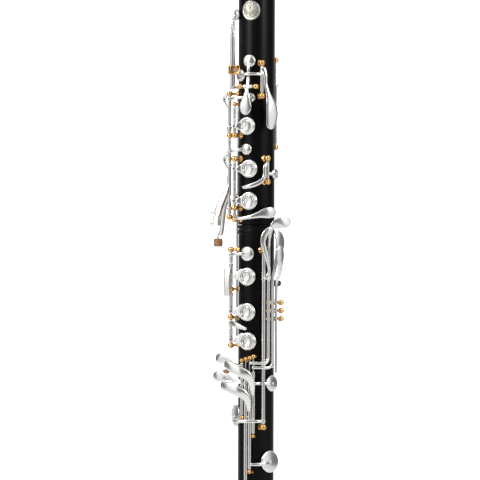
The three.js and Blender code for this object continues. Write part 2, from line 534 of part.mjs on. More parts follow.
place("right_pinky_key_2", join([
  pinkyTube(1, -243, -150),
  bar([[6, 28.8, -186, 1.4, 0.9], [6, 30.6, -180, 2.2, 1.2], [4, 32.4, -173, 3.4, 1.8], [-3, 34.2, -168, 4.6, 2.5],
    [-13, 35.8, -165, 5, 2.7], [-26, 37.1, -161.6, 5, 2.7], [-37, 38.6, -159.8, 4.4, 2.5], [-42, 39.2, -159, 2.4, 1.5]]),
  bar([[9, 28, -238.5, 1.4, 0.9], [22, 27.4, -238.5, 1.5, 0.9], [40, 25.4, -238, 1.6, 0.9], [54, CUP_TOP, -237, 2.4, 0.8]]),
  cup(HOLES.pinky2, 11),
]).subtract(pinkyBore(1, -243, -150)), silver);
place("right_pinky_key_3", openBy(join([
  pinkyTube(2, -309.6, -150),
  bar([[-3, 28.4, -158, 1.4, 0.8], [-8, 30.2, -157.8, 1.6, 0.8], [-14, 30.4, -156, 1.8, 0.8], [-28, 30.8, -153.6, 3, 1],
    [-40, 32.4, -150.8, 3.8, 1.2], [-50, 37, -151.6, 4.8, 1.9], [-58, 40.2, -150.6, 4.8, 2], [-61.4, 41.4, -150, 2.6, 1.2]]),
  bar([[-5, 28, -296, 1.5, 0.9], [-18, 27.6, -296, 1.6, 0.9], [-34, 23, -293.6, 2.6, 0.9]]),
  cup(HOLES.pinky3, 12.5),
  bar([[-1, 27.4, -304, 1.4, 0.9], [6, 28, -304, 1.8, 0.8], [12, 28.2, -303, 1.8, 0.8]]),
]), LINE.pinky3, PINKY_OPEN).subtract(pinkyBore(2, -309.6, -150)), silver);
place("right_pinky_key_4", join([
  pinkyTube(3, -189.3, -138),
  bar([[-13, 28.6, -143, 1.4, 0.8], [-20, 29.4, -139.6, 2, 0.8], [-32, 30.4, -136.4, 3, 1], [-44, 33, -134.2, 4.2, 1.4],
    [-53, 36.6, -133, 4.8, 1.9], [-59, 39.2, -133, 4.6, 2], [-61.6, 40.1, -133, 2.4, 1.2]]),
]).subtract(pinkyBore(3, -189.3, -138)), silver);

// Low E flat key on the lower right, worked by a long tube of its own
place("low_key_posts", join([
  post([...LINE.lowE, -290]),
  post([...LINE.lowE, -345]),
  rodThrough(LINE.lowE, -345, -290),
]), gold);
place("low_e_key", openBy(join([
  tubeOn(LINE.lowE, -341.6, -293.4),
  bar([[20, 28.2, -330, 1.6, 1], [32, 27.6, -330, 1.8, 0.9], [46, 23.2, -330, 2.8, 0.9]]),
  cup(HOLES.lowE, 13),
  bar([[17, 28.4, -303, 1.6, 0.9], [14, 30.4, -303, 1.8, 0.8], [8, 31, -303, 1.8, 0.8]]),
]), LINE.lowE, -PINKY_OPEN).subtract(boreOn(LINE.lowE, -341.6, -293.4)), silver);

// ---- Thumb rest, strap ring, bell, neck, mouthpiece and peg ------------------------------------------------------------
const BACK = outward(180);
function strapRing() {
  const eye = point(STRAP_EYE);
  const ring = new THREE.TorusGeometry(6.6, 1.5, 6, 18);
  ring.applyMatrix4(new THREE.Matrix4().makeBasis(BACK, UP, sideways(0)).setPosition(eye));
  const plate = cylinder(6, FOOT_R, FOOT_R + 1.6, BACK, new THREE.Vector3(0, 0, STRAP_EYE[2]), 16);
  const neck = cylinder(2, FOOT_R + 1, 21.6, BACK, new THREE.Vector3(0, 0, STRAP_EYE[2]), 10);
  return join([solid(ring), plate, neck]);
}
place("strap_ring", strapRing(), silver);

const REST_Z = -58.5;
function block(x0, x1, y0, y1, z0, z1) {
  const geometry = new THREE.BoxGeometry(x1 - x0, y1 - y0, z1 - z0);
  geometry.translate((x0 + x1) / 2, (y0 + y1) / 2, (z0 + z1) / 2);
  return solid(geometry);
}
place("thumb_rest", join([
  block(-7, 7, FOOT_R, FOOT_R + 2, REST_Z - 4, REST_Z + 26),
  block(-8, 8, FOOT_R + 0.5, 46, REST_Z - 1, REST_Z + 1),
]), silver);
place("thumb_rest_pad", block(-10, 10, 27, 47.5, REST_Z - 3.5, REST_Z + 3.5)
  .subtract(block(-8.4, 8.4, 20, 46.4, REST_Z - 1.4, REST_Z + 1.4)), rubber);

// Bell: a bow that turns forwards and up, widening to the flare
const BELL_TURN = 58;
const bellStart = LOWER_END + 19;
const bellPath = new THREE.CurvePath();
const BOW_TOP = bellStart - 62;
bellPath.add(new THREE.LineCurve3(new THREE.Vector3(0, 0, bellStart), new THREE.Vector3(0, 0, BOW_TOP)));
class Bow extends THREE.Curve {
  getPoint(u, target = new THREE.Vector3()) {
    const turn = rad(140 * u);
    return target.set(0, -BELL_TURN * (1 - Math.cos(turn)), BOW_TOP - BELL_TURN * Math.sin(turn));
  }
}
const bow = new Bow();
bellPath.add(bow);
const bowEnd = bow.getPoint(1);
const bellAim = bow.getTangent(1);
bellPath.add(new THREE.LineCurve3(bowEnd, bowEnd.clone().addScaledVector(bellAim, 70)));
const BELL_WALL = 1.2;
function bellRadius(u) {
  return 17.4 + 8 * u + 6 * u * u + 34 * u ** 9;
}
function bellSkin(inset, from, to) {
  class Part extends THREE.Curve {
    getPoint(u, target = new THREE.Vector3()) {
      return target.copy(bellPath.getPoint(from + (to - from) * u));
    }
  }
  const size = (u) => {
    const r = bellRadius(from + (to - from) * u) - inset;
    return new THREE.Vector2(r, r);
  };
  return sweep(new Part(), size, 13, 14, () => new THREE.Vector3(1, 0, 0));
}
function bell() {
  const outer = bellSkin(0, 0, 1);
  const inner = bellSkin(BELL_WALL, 0, 1);
  const mouth = cylinder(bellRadius(1) - BELL_WALL, -0.5, 2, bellAim, bellPath.getPoint(1), 20);
  const socketHole = aboutBore(disc(TENON_R + 1.4, bellStart - 19.5, bellStart + 5), 20);
  return cut(outer, [inner, mouth, socketHole]);
}
place("bell", bell(), silver);

// Floor peg: holder on the bow's underside, sliding rod, rubber tip and thumb screw
const PEG_Y = -30;
const pegTop = BOW_TOP - 62;
const holderTop = pegTop - 22;
const HOLDER = { radius: 7, length: 46, hole: 4.4 };
const pegAt = new THREE.Vector3(0, PEG_Y, 0);
const upAt = (radius, z0, z1, sides = 12) => cylinder(radius, z0, z1, UP, pegAt, sides);
place("peg_holder", cut(join([
  upAt(HOLDER.radius, holderTop - HOLDER.length, pegTop + 6, 16),
]), [bellSkin(-GAP, 0, 1), upAt(HOLDER.hole, holderTop - HOLDER.length - 5, pegTop + 4, 12)]), silver);
const PEG_END = holderTop - HOLDER.length - 90;
place("peg_rod", upAt(4, PEG_END + 4, holderTop - 14), steel);
place("peg_tip", cut(upAt(7, PEG_END - 8, PEG_END + 16, 16), [upAt(4.3, PEG_END + 3.6, PEG_END + 20)]), rubber);
const screwZ = holderTop - 22;
place("peg_screw", join([
  cylinder(2, 7.4, 14, new THREE.Vector3(1, 0, 0), new THREE.Vector3(0, PEG_Y, screwZ), 10),
  cylinder(6.5, 13.5, 18, new THREE.Vector3(1, 0, 0), new THREE.Vector3(0, PEG_Y, screwZ), 14),
]), silver);

// Neck: tenon, upright tube and a bend towards the player
const NECK_BASE = UPPER_TOP + 1;
const NECK_TURN = 46;
const neckStraight = NECK_BASE + 74;
class NeckCurve extends THREE.Curve {
  getPoint(u, target = new THREE.Vector3()) {
    const parts = [0.42, 0.86];
    if (u < parts[0]) return target.set(0, 0, NECK_BASE + (neckStraight - NECK_BASE) * (u / parts[0]));
    const turn = rad(72 * Math.min((u - parts[0]) / (parts[1] - parts[0]), 1));
    target.set(0, NECK_TURN * (1 - Math.cos(turn)), neckStraight + NECK_TURN * Math.sin(turn));
    if (u <= parts[1]) return target;
    const run = (26 * (u - parts[1])) / (1 - parts[1]);
    return target.add(new THREE.Vector3(0, Math.sin(rad(72)) * run, Math.cos(rad(72)) * run));
  }
}
const neckCurve = new NeckCurve();
const neckEnd = neckCurve.getPoint(1);
const blowAxis = new THREE.Vector3(0, Math.sin(rad(72)), Math.cos(rad(72)));
const neckSize = (inset) => () => new THREE.Vector2(12.6 - inset, 12.6 - inset);
const neckFacing = () => new THREE.Vector3(1, 0, 0);
place("neck", cut(join([
  sweep(neckCurve, neckSize(0), 13, 12, neckFacing),
  aboutBore(disc(14, NECK_BASE + 5.5, NECK_BASE + 40), 20),
  cylinder(14.4, -4, 4, blowAxis, neckCurve.getPoint(0.9), 20),
]), [sweep(neckCurve, neckSize(1.6), 13, 12, neckFacing),
  cylinder(11, -1, 3, blowAxis, neckEnd, 16), cylinder(11, -3, 1, UP, new THREE.Vector3(0, 0, NECK_BASE), 16)]), silver);

// Mouthpiece on the neck's end, with a flat table for the reed underneath and a slanted beak on top
const MOUTHPIECE = { length: 92, cover: 14 };
const mouthAt = neckEnd.clone().addScaledVector(blowAxis, -MOUTHPIECE.cover);
const beakUp = new THREE.Vector3(0, -Math.cos(rad(72)), Math.sin(rad(72)));
const mouthFrame = new THREE.Matrix4().makeBasis(new THREE.Vector3(-1, 0, 0), blowAxis, beakUp).setPosition(mouthAt);
function inMouth(geometry) {
  return solid(geometry.applyMatrix4(mouthFrame));
}
function wedge(outline, width) {
  const shape = new THREE.Shape(outline.map(([along, up]) => new THREE.Vector2(along, up)));
  const geometry = new THREE.ExtrudeGeometry(shape, { depth: width, bevelEnabled: false });
  geometry.translate(0, 0, -width / 2);
  geometry.applyMatrix4(new THREE.Matrix4().makeBasis(
    new THREE.Vector3(0, 1, 0), new THREE.Vector3(0, 0, 1), new THREE.Vector3(1, 0, 0)));
  return inMouth(geometry);
}
const mouthProfile = [[0, 0], [16, 0], [16.4, 3], [16, 22], [15, 26], [14.4, 60], [12.6, MOUTHPIECE.length], [0, MOUTHPIECE.length]];
const TABLE = -9.5;
place("mouthpiece", cut(turned(mouthProfile, mouthAt, blowAxis, 20), [
  wedge([[44, 20], [44, 16], [MOUTHPIECE.length + 2, -6.4], [MOUTHPIECE.length + 2, 20]], 40),
  wedge([[30, TABLE], [30, -20], [MOUTHPIECE.length + 2, -20], [MOUTHPIECE.length + 2, TABLE]], 40),
  cylinder(12.9, -1, MOUTHPIECE.cover + 2, blowAxis, mouthAt, 16),
  cylinder(7, MOUTHPIECE.cover, 62, blowAxis, mouthAt, 12),
]), ebonite);
place("reed", wedge([[30.4, TABLE - GAP], [30.4, TABLE - 3.2], [52, TABLE - 3.2], [MOUTHPIECE.length - 1, TABLE - 0.9],
  [MOUTHPIECE.length - 1, TABLE - GAP]], 15), cane);
const ligatureFrom = 33;
const ligatureTo = 56;
place("ligature", cut(cylinder(17.4, ligatureFrom, ligatureTo, blowAxis, mouthAt, 20), [
  cylinder(16, ligatureFrom - 2, ligatureTo + 2, blowAxis, mouthAt, 20),
]), silver);
for (const [name, along] of [["ligature_screw_1", 39], ["ligature_screw_2", 50]]) {
  const at = mouthAt.clone().addScaledVector(blowAxis, along).addScaledVector(beakUp, -20.6);
  place(name, join([
    cylinder(1.5, -6, 8, new THREE.Vector3(1, 0, 0), at, 8),
    cylinder(3.4, 8, 14, new THREE.Vector3(1, 0, 0), at, 12),
  ]), silver);
}

// The part's origin is the centre of the strap ring's eye
clarinet.position.copy(point(STRAP_EYE)).negate();
export default clarinet;
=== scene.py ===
"""Bass clarinet with silver-plated keys on gold-plated posts.

Places are stations (phi, r, z) in millimetres: phi in degrees round the bore from the front towards +X,
r from the bore axis, and z above the line where the two wooden joints meet. The axis and that line come
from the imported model."""
import json
from math import atan, cos, pi, radians, sin, sqrt
import bpy
from mathutils import Matrix, Vector

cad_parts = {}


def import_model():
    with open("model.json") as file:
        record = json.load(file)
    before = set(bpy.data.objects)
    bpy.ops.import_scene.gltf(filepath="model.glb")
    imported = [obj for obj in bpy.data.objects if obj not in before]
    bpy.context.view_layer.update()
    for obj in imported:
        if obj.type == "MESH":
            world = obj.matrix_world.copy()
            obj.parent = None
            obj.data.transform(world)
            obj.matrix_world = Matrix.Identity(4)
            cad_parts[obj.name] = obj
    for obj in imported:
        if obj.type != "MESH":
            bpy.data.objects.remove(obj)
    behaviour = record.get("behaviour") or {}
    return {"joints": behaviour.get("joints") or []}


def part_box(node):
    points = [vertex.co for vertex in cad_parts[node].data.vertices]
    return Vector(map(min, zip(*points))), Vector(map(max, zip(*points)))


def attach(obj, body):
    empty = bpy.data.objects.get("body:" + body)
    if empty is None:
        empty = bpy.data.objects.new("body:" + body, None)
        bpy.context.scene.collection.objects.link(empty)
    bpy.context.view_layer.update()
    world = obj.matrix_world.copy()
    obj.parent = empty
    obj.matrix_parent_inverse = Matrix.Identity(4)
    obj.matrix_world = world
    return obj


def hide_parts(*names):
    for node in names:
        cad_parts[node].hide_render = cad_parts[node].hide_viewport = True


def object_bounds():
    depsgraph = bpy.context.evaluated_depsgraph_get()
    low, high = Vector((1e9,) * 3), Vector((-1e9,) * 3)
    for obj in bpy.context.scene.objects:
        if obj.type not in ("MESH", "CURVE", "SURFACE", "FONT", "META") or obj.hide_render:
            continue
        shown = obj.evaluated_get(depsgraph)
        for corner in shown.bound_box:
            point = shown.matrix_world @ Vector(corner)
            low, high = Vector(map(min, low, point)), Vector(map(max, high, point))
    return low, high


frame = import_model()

CAD_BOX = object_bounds()
MM = 0.001
SOCKET_LOW, SOCKET_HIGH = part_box("neck_socket")
JOINT_LINE = Vector(((SOCKET_LOW.x + SOCKET_HIGH.x) / 2, (SOCKET_LOW.y + SOCKET_HIGH.y) / 2,
    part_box("lower_joint")[1].z))
JOINTS = {j["child"]: j for j in frame["joints"]}
UP = Vector((0, 0, 1))
BODY_R = 18.2
BORE_R = 11.8
RIM_R = 19.5
TUBE_R = 1.8
BALL_R = 3.1
VIEW_AZIMUTH = 20
PLATE_SLANT = -6
REGISTER_PHI = -56
SADDLE_Z = 155
LEVER_LINE = (61, 23.4)
THROAT_ROD = (0, 25.5, 138)
FLOOR_R = 3

# Camera: lens and sensor in mm, distance in m, aim in mm up from the joint line and left of the axis,
# roll in degrees
LENS = 450
SENSOR = 36
CAMERA_DISTANCE = 6
AIM_UP = -15
AIM_LEFT = 16.3
CAMERA_ROLL = 0.14

# Studio: strengths of the backdrop, base, wall behind, sky and ground; strips are (azimuth, strength);
# softboxes are (azimuth, distance in m, height in m, watts)
BACKDROP = 1.6
BASE = 0.17
BEHIND = 0.5
SKY = 0.4
GROUND = 0.08
STRIPS = ((-36, 0.85), (76, 0.7))
SOFTBOXES = ((-30, 1.4, 0.75, 9), (66, 1.5, 0.7, 6))


# ---- Frames and meshes ----
def outward(phi):
    return Vector((sin(radians(phi)), -cos(radians(phi)), 0))


def sideways(phi):
    return Vector((cos(radians(phi)), sin(radians(phi)), 0))


FRONT = outward(PLATE_SLANT)


def station(phi, r, z):
    """A place on the instrument, in metres in the row frame."""
    return JOINT_LINE + (outward(phi) * r + UP * z) * MM


def design(x, y, z):
    return JOINT_LINE + Vector((x, y, z)) * MM


def opened(body):
    """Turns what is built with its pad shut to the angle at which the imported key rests."""
    angle = OPEN_ANGLES.get(body)
    if angle is None:
        return Matrix.Identity(4)
    pivot = Vector(JOINTS[body]["pos_m"])
    return Matrix.Translation(pivot) @ Matrix.Rotation(radians(angle), 4, "Z") @ Matrix.Translation(-pivot)


def make(name, vertices, faces, material, body, nodes=(), sharp=38):
    mesh = bpy.data.meshes.new(name)
    mesh.from_pydata([tuple(v) for v in vertices], [], faces)
    mesh.validate()
    mesh.polygons.foreach_set("use_smooth", [True] * len(mesh.polygons))
    mesh.set_sharp_from_angle(angle=radians(sharp))
    mesh.materials.append(material)
    piece = bpy.data.objects.new(name, mesh)
    bpy.context.scene.collection.objects.link(piece)
    mesh.transform(opened(body))
    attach(piece, body)
    for node in nodes:
        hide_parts(node)
    return piece


def skin(rings, closed_loop=False):
    """Faces over rings of equal length; end rings are capped unless the rings close on themselves."""
    count = len(rings[0])
    vertices = [v for ring in rings for v in ring]
    faces = []
    last = len(rings) if closed_loop else len(rings) - 1
    for i in range(last):
        a = i * count
        b = ((i + 1) % len(rings)) * count
        for k in range(count):
            n = (k + 1) % count
            faces.append((a + k, a + n, b + n, b + k))
    if not closed_loop:
        faces.append(tuple(range(count - 1, -1, -1)))
        faces.append(tuple(range((len(rings) - 1) * count, len(rings) * count)))
    return vertices, faces


def eased(profile, radius, closed=False):
    """A profile with each corner turned over in a short curve."""
    result = []
    count = len(profile)
    for i, p in enumerate(profile):
        if not closed and i in (0, count - 1):
            result.append(p)
            continue
        p = Vector(p)
        before, after = Vector(profile[i - 1]) - p, Vector(profile[(i + 1) % count]) - p
        reach = min(radius, before.length * 0.45, after.length * 0.45)
        if reach < 1e-4:
            result.append(tuple(p))
            continue
        a, b = p + before.normalized() * reach, p + after.normalized() * reach
        for step in range(4):
            t = step / 3
            result.append(tuple(a * (1 - t) ** 2 + p * 2 * t * (1 - t) + b * t * t))
    return result


def turned(name, profile, base, axis, material, body, nodes=(), ease=0.25, sides=40, closed=False):
    """A lathed piece: profile of (radius, height) in mm along an axis from a base point."""
    axis = axis.normalized()
    across = axis.orthogonal().normalized()
    if abs(axis.dot(UP)) < 0.9:
        across = UP.cross(axis).normalized()
    other = axis.cross(across)
    rings = []
    for r, h in eased(profile, ease, closed):
        r = max(r, 0.001)
        ring = []
        for k in range(sides):
            turn = 2 * pi * k / sides
            ring.append(base + (across * (r * cos(turn)) + other * (r * sin(turn)) + axis * h) * MM)
        rings.append(ring)
    return make(name, *skin(rings, closed), material, body, nodes)


def smooth_path(rows, per=7):
    """Catmull-Rom rows between the given ones, numbers of any meaning side by side."""
    rows = [Vector(row) for row in rows]
    padded = [rows[0] * 2 - rows[1], *rows, rows[-1] * 2 - rows[-2]]
    path = []
    for i in range(1, len(padded) - 2):
        p0, p1, p2, p3 = padded[i - 1:i + 3]
        for step in range(per):
            t = step / per
            path.append(0.5 * (2 * p1 + (p2 - p0) * t + (2 * p0 - 5 * p1 + 4 * p2 - p3) * t * t
                               + (3 * p1 - p0 - 3 * p2 + p3) * t ** 3))
    path.append(rows[-1])
    return path


def swept(name, rows, material, body, nodes=(), facing=None, square=2.4, sides=24, per=7, ends=(1, 1),
          crown=0):
    """A bar through rows of (phi, r, z, half width, half thickness). Its thickness points out from the bore
    or along facing; square is the section's superellipse power; ends are rounded where ends says so."""
    path = smooth_path([(*station(*row[:3]), row[3], row[4]) for row in rows], per)
    spots = [Vector(p[:3]) for p in path]
    lengths = [0.0]
    for a, b in zip(spots, spots[1:]):
        lengths.append(lengths[-1] + (b - a).length / MM)
    total = lengths[-1]
    rings = []
    marks = sorted({*lengths, *end_marks(total, rows, ends)})
    for s in marks:
        i = max(k for k in range(len(lengths)) if lengths[k] <= s + 1e-9)
        j = min(i + 1, len(path) - 1)
        t = 0 if i == j else (s - lengths[i]) / (lengths[j] - lengths[i])
        spot = spots[i].lerp(spots[j], t)
        half_w = path[i][3] * (1 - t) + path[j][3] * t
        half_t = path[i][4] * (1 - t) + path[j][4] * t
        before, after = spots[max(i - 1, 0)], spots[min(j + 1, len(path) - 1)]
        along = (after - before).normalized()
        normal = facing.copy() if facing else (spot - JOINT_LINE) * Vector((1, 1, 0))
        normal = (normal - along * normal.dot(along)).normalized()
        across = along.cross(normal)
        shrink_w, shrink_t = end_shrink(s, total, half_w, half_t, ends)
        ring = []
        for x, y in section(half_w * shrink_w, half_t * shrink_t, square, sides):
            if crown and half_w > 0:
                y += crown * (1 - (x / half_w) ** 2) * shrink_t
            ring.append(spot + (across * x + normal * y) * MM)
        rings.append(ring)
    return make(name, *skin(rings), material, body, nodes, sharp=50)


def section(half_w, half_t, square, sides):
    """Points round a superellipse, from a circle at square 2 towards a box."""
    for k in range(sides):
        turn = 2 * pi * k / sides
        c, q = cos(turn), sin(turn)
        x = abs(c) ** (2 / square) * (1 if c > 0 else -1) * half_w
        y = abs(q) ** (2 / square) * (1 if q > 0 else -1) * half_t
        yield x, y


def end_marks(total, rows, ends):
    marks = set()
    for which, row in ((0, rows[0]), (1, rows[-1])):
        reach = min(max(row[3], 0.3), total * 0.3)
        if ends[which]:
            for share in (0.03, 0.12, 0.26, 0.45, 0.7, 1):
                marks.add(reach * share if which == 0 else total - reach * share)
    return marks


def end_shrink(s, total, half_w, half_t, ends):
    """Rounds a bar's end: full circle in width, quarter round in thickness."""
    width = thick = 1
    for which, distance in ((0, s), (1, total - s)):
        if not ends[which]:
            continue
        w = min(max(half_w, 0.3), total * 0.3)
        if distance < w:
            width = min(width, sqrt(max(1 - (1 - distance / w) ** 2, 0.0004)))
        t = min(max(half_t, 0.2) * 1.4, w)
        if distance < t:
            thick = min(thick, sqrt(max(1 - (1 - distance / t) ** 2, 0.01)))
    return width, thick


# ---- Materials ----
def material(name, slot, color, metallic, roughness):
    made = bpy.data.materials.new(name)
    made.use_nodes = True
    made["slot"] = slot
    shader = made.node_tree.nodes["Principled BSDF"]
    shader.inputs["Base Color"].default_value = (*color, 1)
    shader.inputs["Metallic"].default_value = metallic
    shader.inputs["Roughness"].default_value = roughness
    return made, made.node_tree, shader


def noise(tree, scale, detail=3, stretch=(1, 1, 1)):
    nodes, links = tree.nodes, tree.links
    place = nodes.new("ShaderNodeTexCoord")
    mapping = nodes.new("ShaderNodeMapping")
    mapping.inputs["Scale"].default_value = stretch
    links.new(place.outputs["Object"], mapping.inputs["Vector"])
    texture = nodes.new("ShaderNodeTexNoise")
    texture.inputs["Scale"].default_value = scale
    texture.inputs["Detail"].default_value = detail
    links.new(mapping.outputs["Vector"], texture.inputs["Vector"])
    return texture


def ramp(tree, source, low, high, at=(0.35, 0.65)):
    node = tree.nodes.new("ShaderNodeValToRGB")
    node.color_ramp.elements[0].color = (*low, 1)
    node.color_ramp.elements[1].color = (*high, 1)
    node.color_ramp.elements[0].position, node.color_ramp.elements[1].position = at
    tree.links.new(source, node.inputs["Fac"])
    return node.outputs["Color"]


def vary(tree, shader, source, socket, low, high):
    node = tree.nodes.new("ShaderNodeMapRange")
    node.inputs["To Min"].default_value = low
    node.inputs["To Max"].default_value = high
    tree.links.new(source, node.inputs["Value"])
    tree.links.new(node.outputs["Result"], shader.inputs[socket])


def bumped(tree, shader, source, strength, distance):
    node = tree.nodes.new("ShaderNodeBump")
    node.inputs["Strength"].default_value = strength
    node.inputs["Distance"].default_value = distance
    tree.links.new(source, node.inputs["Height"])
    tree.links.new(node.outputs["Normal"], shader.inputs["Normal"])


def plated(name, slot, light, dark, roughness):
    """Polished plating: slight clouding, a little uneven polish and very shallow waviness from buffing."""
    made, tree, shader = material(name, slot, light, 1, roughness)
    cloud = noise(tree, 90, 4)
    tree.links.new(ramp(tree, cloud.outputs["Fac"], dark, light), shader.inputs["Base Color"])
    vary(tree, shader, noise(tree, 260, 3).outputs["Fac"], "Roughness", roughness * 0.7, roughness * 1.4)
    bumped(tree, shader, noise(tree, 420, 2).outputs["Fac"], 0.02, 0.0003)
    return made


def grenadilla():
    """Dense black wood: fine pores and streaks along the bore under an oiled satin surface."""
    made, tree, shader = material("grenadilla", "grenadilla", (0.002, 0.002, 0.002), 0, 0.36)
    streaks = noise(tree, 300, 5, (1, 1, 0.035))
    tree.links.new(ramp(tree, streaks.outputs["Fac"], (0.0006, 0.0005, 0.0005), (0.002, 0.0016, 0.0013)),
        shader.inputs["Base Color"])
    vary(tree, shader, streaks.outputs["Fac"], "Roughness", 0.27, 0.38)
    shader.inputs["Specular IOR Level"].default_value = 0.16
    bumped(tree, shader, noise(tree, 700, 4, (1, 1, 0.05)).outputs["Fac"], 0.12, 0.0003)
    return made


def plain(name, slot, low, high, roughness, scale, bump=0.2, metallic=0, stretch=(1, 1, 1)):
    made, tree, shader = material(name, slot, high, metallic, roughness)
    grain = noise(tree, scale, 5, stretch)
    tree.links.new(ramp(tree, grain.outputs["Fac"], low, high), shader.inputs["Base Color"])
    vary(tree, shader, grain.outputs["Fac"], "Roughness", roughness * 0.85, min(roughness * 1.15, 1))
    bumped(tree, shader, grain.outputs["Fac"], bump, 0.0004)
    return made


def cork_bark():
    """Cork: rounded cells in two browns with darker pits between."""
    made, tree, shader = material("cork", "cork", (0.45, 0.25, 0.12), 0, 0.85)
    cells = tree.nodes.new("ShaderNodeTexVoronoi")
    cells.inputs["Scale"].default_value = 900
    where = tree.nodes.new("ShaderNodeTexCoord")
    tree.links.new(where.outputs["Object"], cells.inputs["Vector"])
    tree.links.new(ramp(tree, cells.outputs["Distance"], (0.5, 0.27, 0.13), (0.2, 0.09, 0.04), (0.2, 0.9)),
        shader.inputs["Base Color"])
    bumped(tree, shader, cells.outputs["Distance"], 0.5, 0.0005)
    return made


SILVER = plated("silver_plate", "silver_plate", (0.95, 0.945, 0.93), (0.86, 0.855, 0.84), 0.17)
GOLD = plated("gold_plate", "gold_plate", (0.98, 0.6, 0.24), (0.86, 0.47, 0.15), 0.14)
WOOD = grenadilla()
BADGE = plain("frosted_silver", "matte_silver", (0.42, 0.4, 0.33), (0.72, 0.7, 0.62), 0.38, 500, 0.35, 1)
EBONITE = plain("ebonite", "ebonite", (0.004, 0.004, 0.004), (0.009, 0.009, 0.009), 0.14, 60, 0.03)
CANE = plain("cane", "cane", (0.55, 0.38, 0.16), (0.78, 0.62, 0.33), 0.55, 500, 0.3, 0, (1, 0.04, 1))
CORK = cork_bark()
PAD = plain("pad_leather", "cork", (0.72, 0.62, 0.48), (0.85, 0.78, 0.66), 0.6, 800, 0.25)
LEATHER = plain("brown_leather", "cork", (0.1, 0.045, 0.035), (0.2, 0.1, 0.08), 0.55, 500, 0.25)
# Darker silver used only in the plates' grooves: painted shade in the creases between rim, ring and dish.
GROOVE_SHADE = plated("painted_groove_shade_silver", "silver_plate", (0.3, 0.3, 0.29), (0.16, 0.16, 0.15), 0.35)
RUBBER = plain("black_rubber", "black_rubber", (0.012, 0.012, 0.012), (0.025, 0.025, 0.025), 0.7, 700, 0.3)
STEEL = plain("drawn_steel", "steel_rod", (0.5, 0.51, 0.52), (0.62, 0.63, 0.65), 0.22, 600, 0.06, 1,
    (1, 1, 0.05))


# ---- Hinge lines, holes and the pieces that repeat ----
LINE = {
    "side": (-61, 27.3), "upper": (-36, 26.5), "g_sharp": (31, 27), "sliver": (44.5, 26.5),
    "thumb": (154, 26.5), "lower": (-52, 26.5), "long": (35.5, 27), "low": (18, 27),
    "pinky_1": (14.1, 27), "pinky_2": (6.2, 27), "pinky_3": (-2.4, 27), "pinky_4": (-11.6, 27),
}
OPEN_ANGLES = {
    "left_key_1": -7, "left_key_2": -7, "left_key_3": -7, "thumb_plate_key": -6,
    "right_vent_key": -6, "right_key_1": -6, "right_key_2": -6, "right_key_3": -6,
    "right_pinky_key_3": 4, "low_e_key": -4,
}
HOLES = {
    "register": (-54, 210, 6), "throat_a": (0, 163.5, 6.3), "g_sharp": (-28, 149, 6),
    "side_high": (4, 127, 4.6), "left_1": (-4, 98.7, 9), "side_low": (-8, 75.5, 5.7),
    "left_2": (2, 56, 9), "sliver": (81, 51, 5.7), "c_sharp": (-48, 27, 4.6), "left_3": (2, 24, 9),
    "thumb": (180, 92, 8), "right_vent": (-1, -28.7, 7.2),
    "right_1": (-1, -51.5, 9), "right_2": (-1, -86.8, 9), "right_sliver": (-90, -98, 5.5),
    "right_3": (1.5, -116, 9),
    "pinky_1": (67, -158, 8), "long": (-49, -190, 11), "pinky_2": (60, -236, 11),
    "pinky_3": (-40, -292, 12.5), "low": (52, -330, 13),
}
PAD_R = RIM_R + 0.3


def post(name, phi, r, z, node, ball=BALL_R, shift=0, waist=1.35, body="body"):
    """A turned post: flared foot, waist, ball with a screw slot in its cap."""
    head = outward(phi) * r + sideways(phi) * shift
    reach = head.length
    axis = head.normalized()
    base = JOINT_LINE + UP * (z * MM)
    foot = min(ball + 0.1, 3.2)
    profile = [(0, BODY_R - 0.4), (foot, BODY_R - 0.2), (foot, BODY_R + 0.7), (foot * 0.72, BODY_R + 1.5),
        (waist, BODY_R + 2.6), (waist, reach - ball * 0.93)]
    for turn in range(-60, 85, 12):
        profile.append((ball * cos(radians(turn)), reach + ball * sin(radians(turn))))
    profile.append((0.9, reach + ball * 0.995))
    profile.append((0.55, reach + ball * 0.86))
    profile.append((0, reach + ball * 0.86))
    turned(name, profile, base, axis, GOLD, body, (node,), ease=0.35, sides=32)


def hinge_tube(name, line, z0, z1, body, node, radius=TUBE_R, collars=()):
    phi, r = line
    profile = [(0, z0), (radius - 0.25, z0), (radius, z0 + 0.3)]
    for z in sorted(collars):
        profile += [(radius, z - 1.3), (radius + 0.5, z - 1), (radius + 0.5, z + 1), (radius, z + 1.3)]
    profile += [(radius, z1 - 0.3), (radius - 0.25, z1), (0, z1)]
    turned(name, profile, station(phi, r, 0), UP, SILVER, body, (node,), ease=0.2, sides=28)


def rod(name, line, z0, z1, node, radius=0.9, body="body"):
    turned(name, [(0, z0), (radius, z0), (radius, z1), (0, z1)], station(*line, 0), UP, STEEL, body,
        (node,), 0.1, 20)


def pad(name, hole, body, node):
    phi, z, radius = hole
    profile = [(0, PAD_R - 0.25), (radius - 1.6, PAD_R - 0.25), (radius - 0.7, PAD_R + 0.2),
        (radius - 0.7, PAD_R + 1.2), (0, PAD_R + 1.2)]
    turned(name, profile, JOINT_LINE + UP * (z * MM), outward(phi), PAD, body, (node,), 0.3, 40)


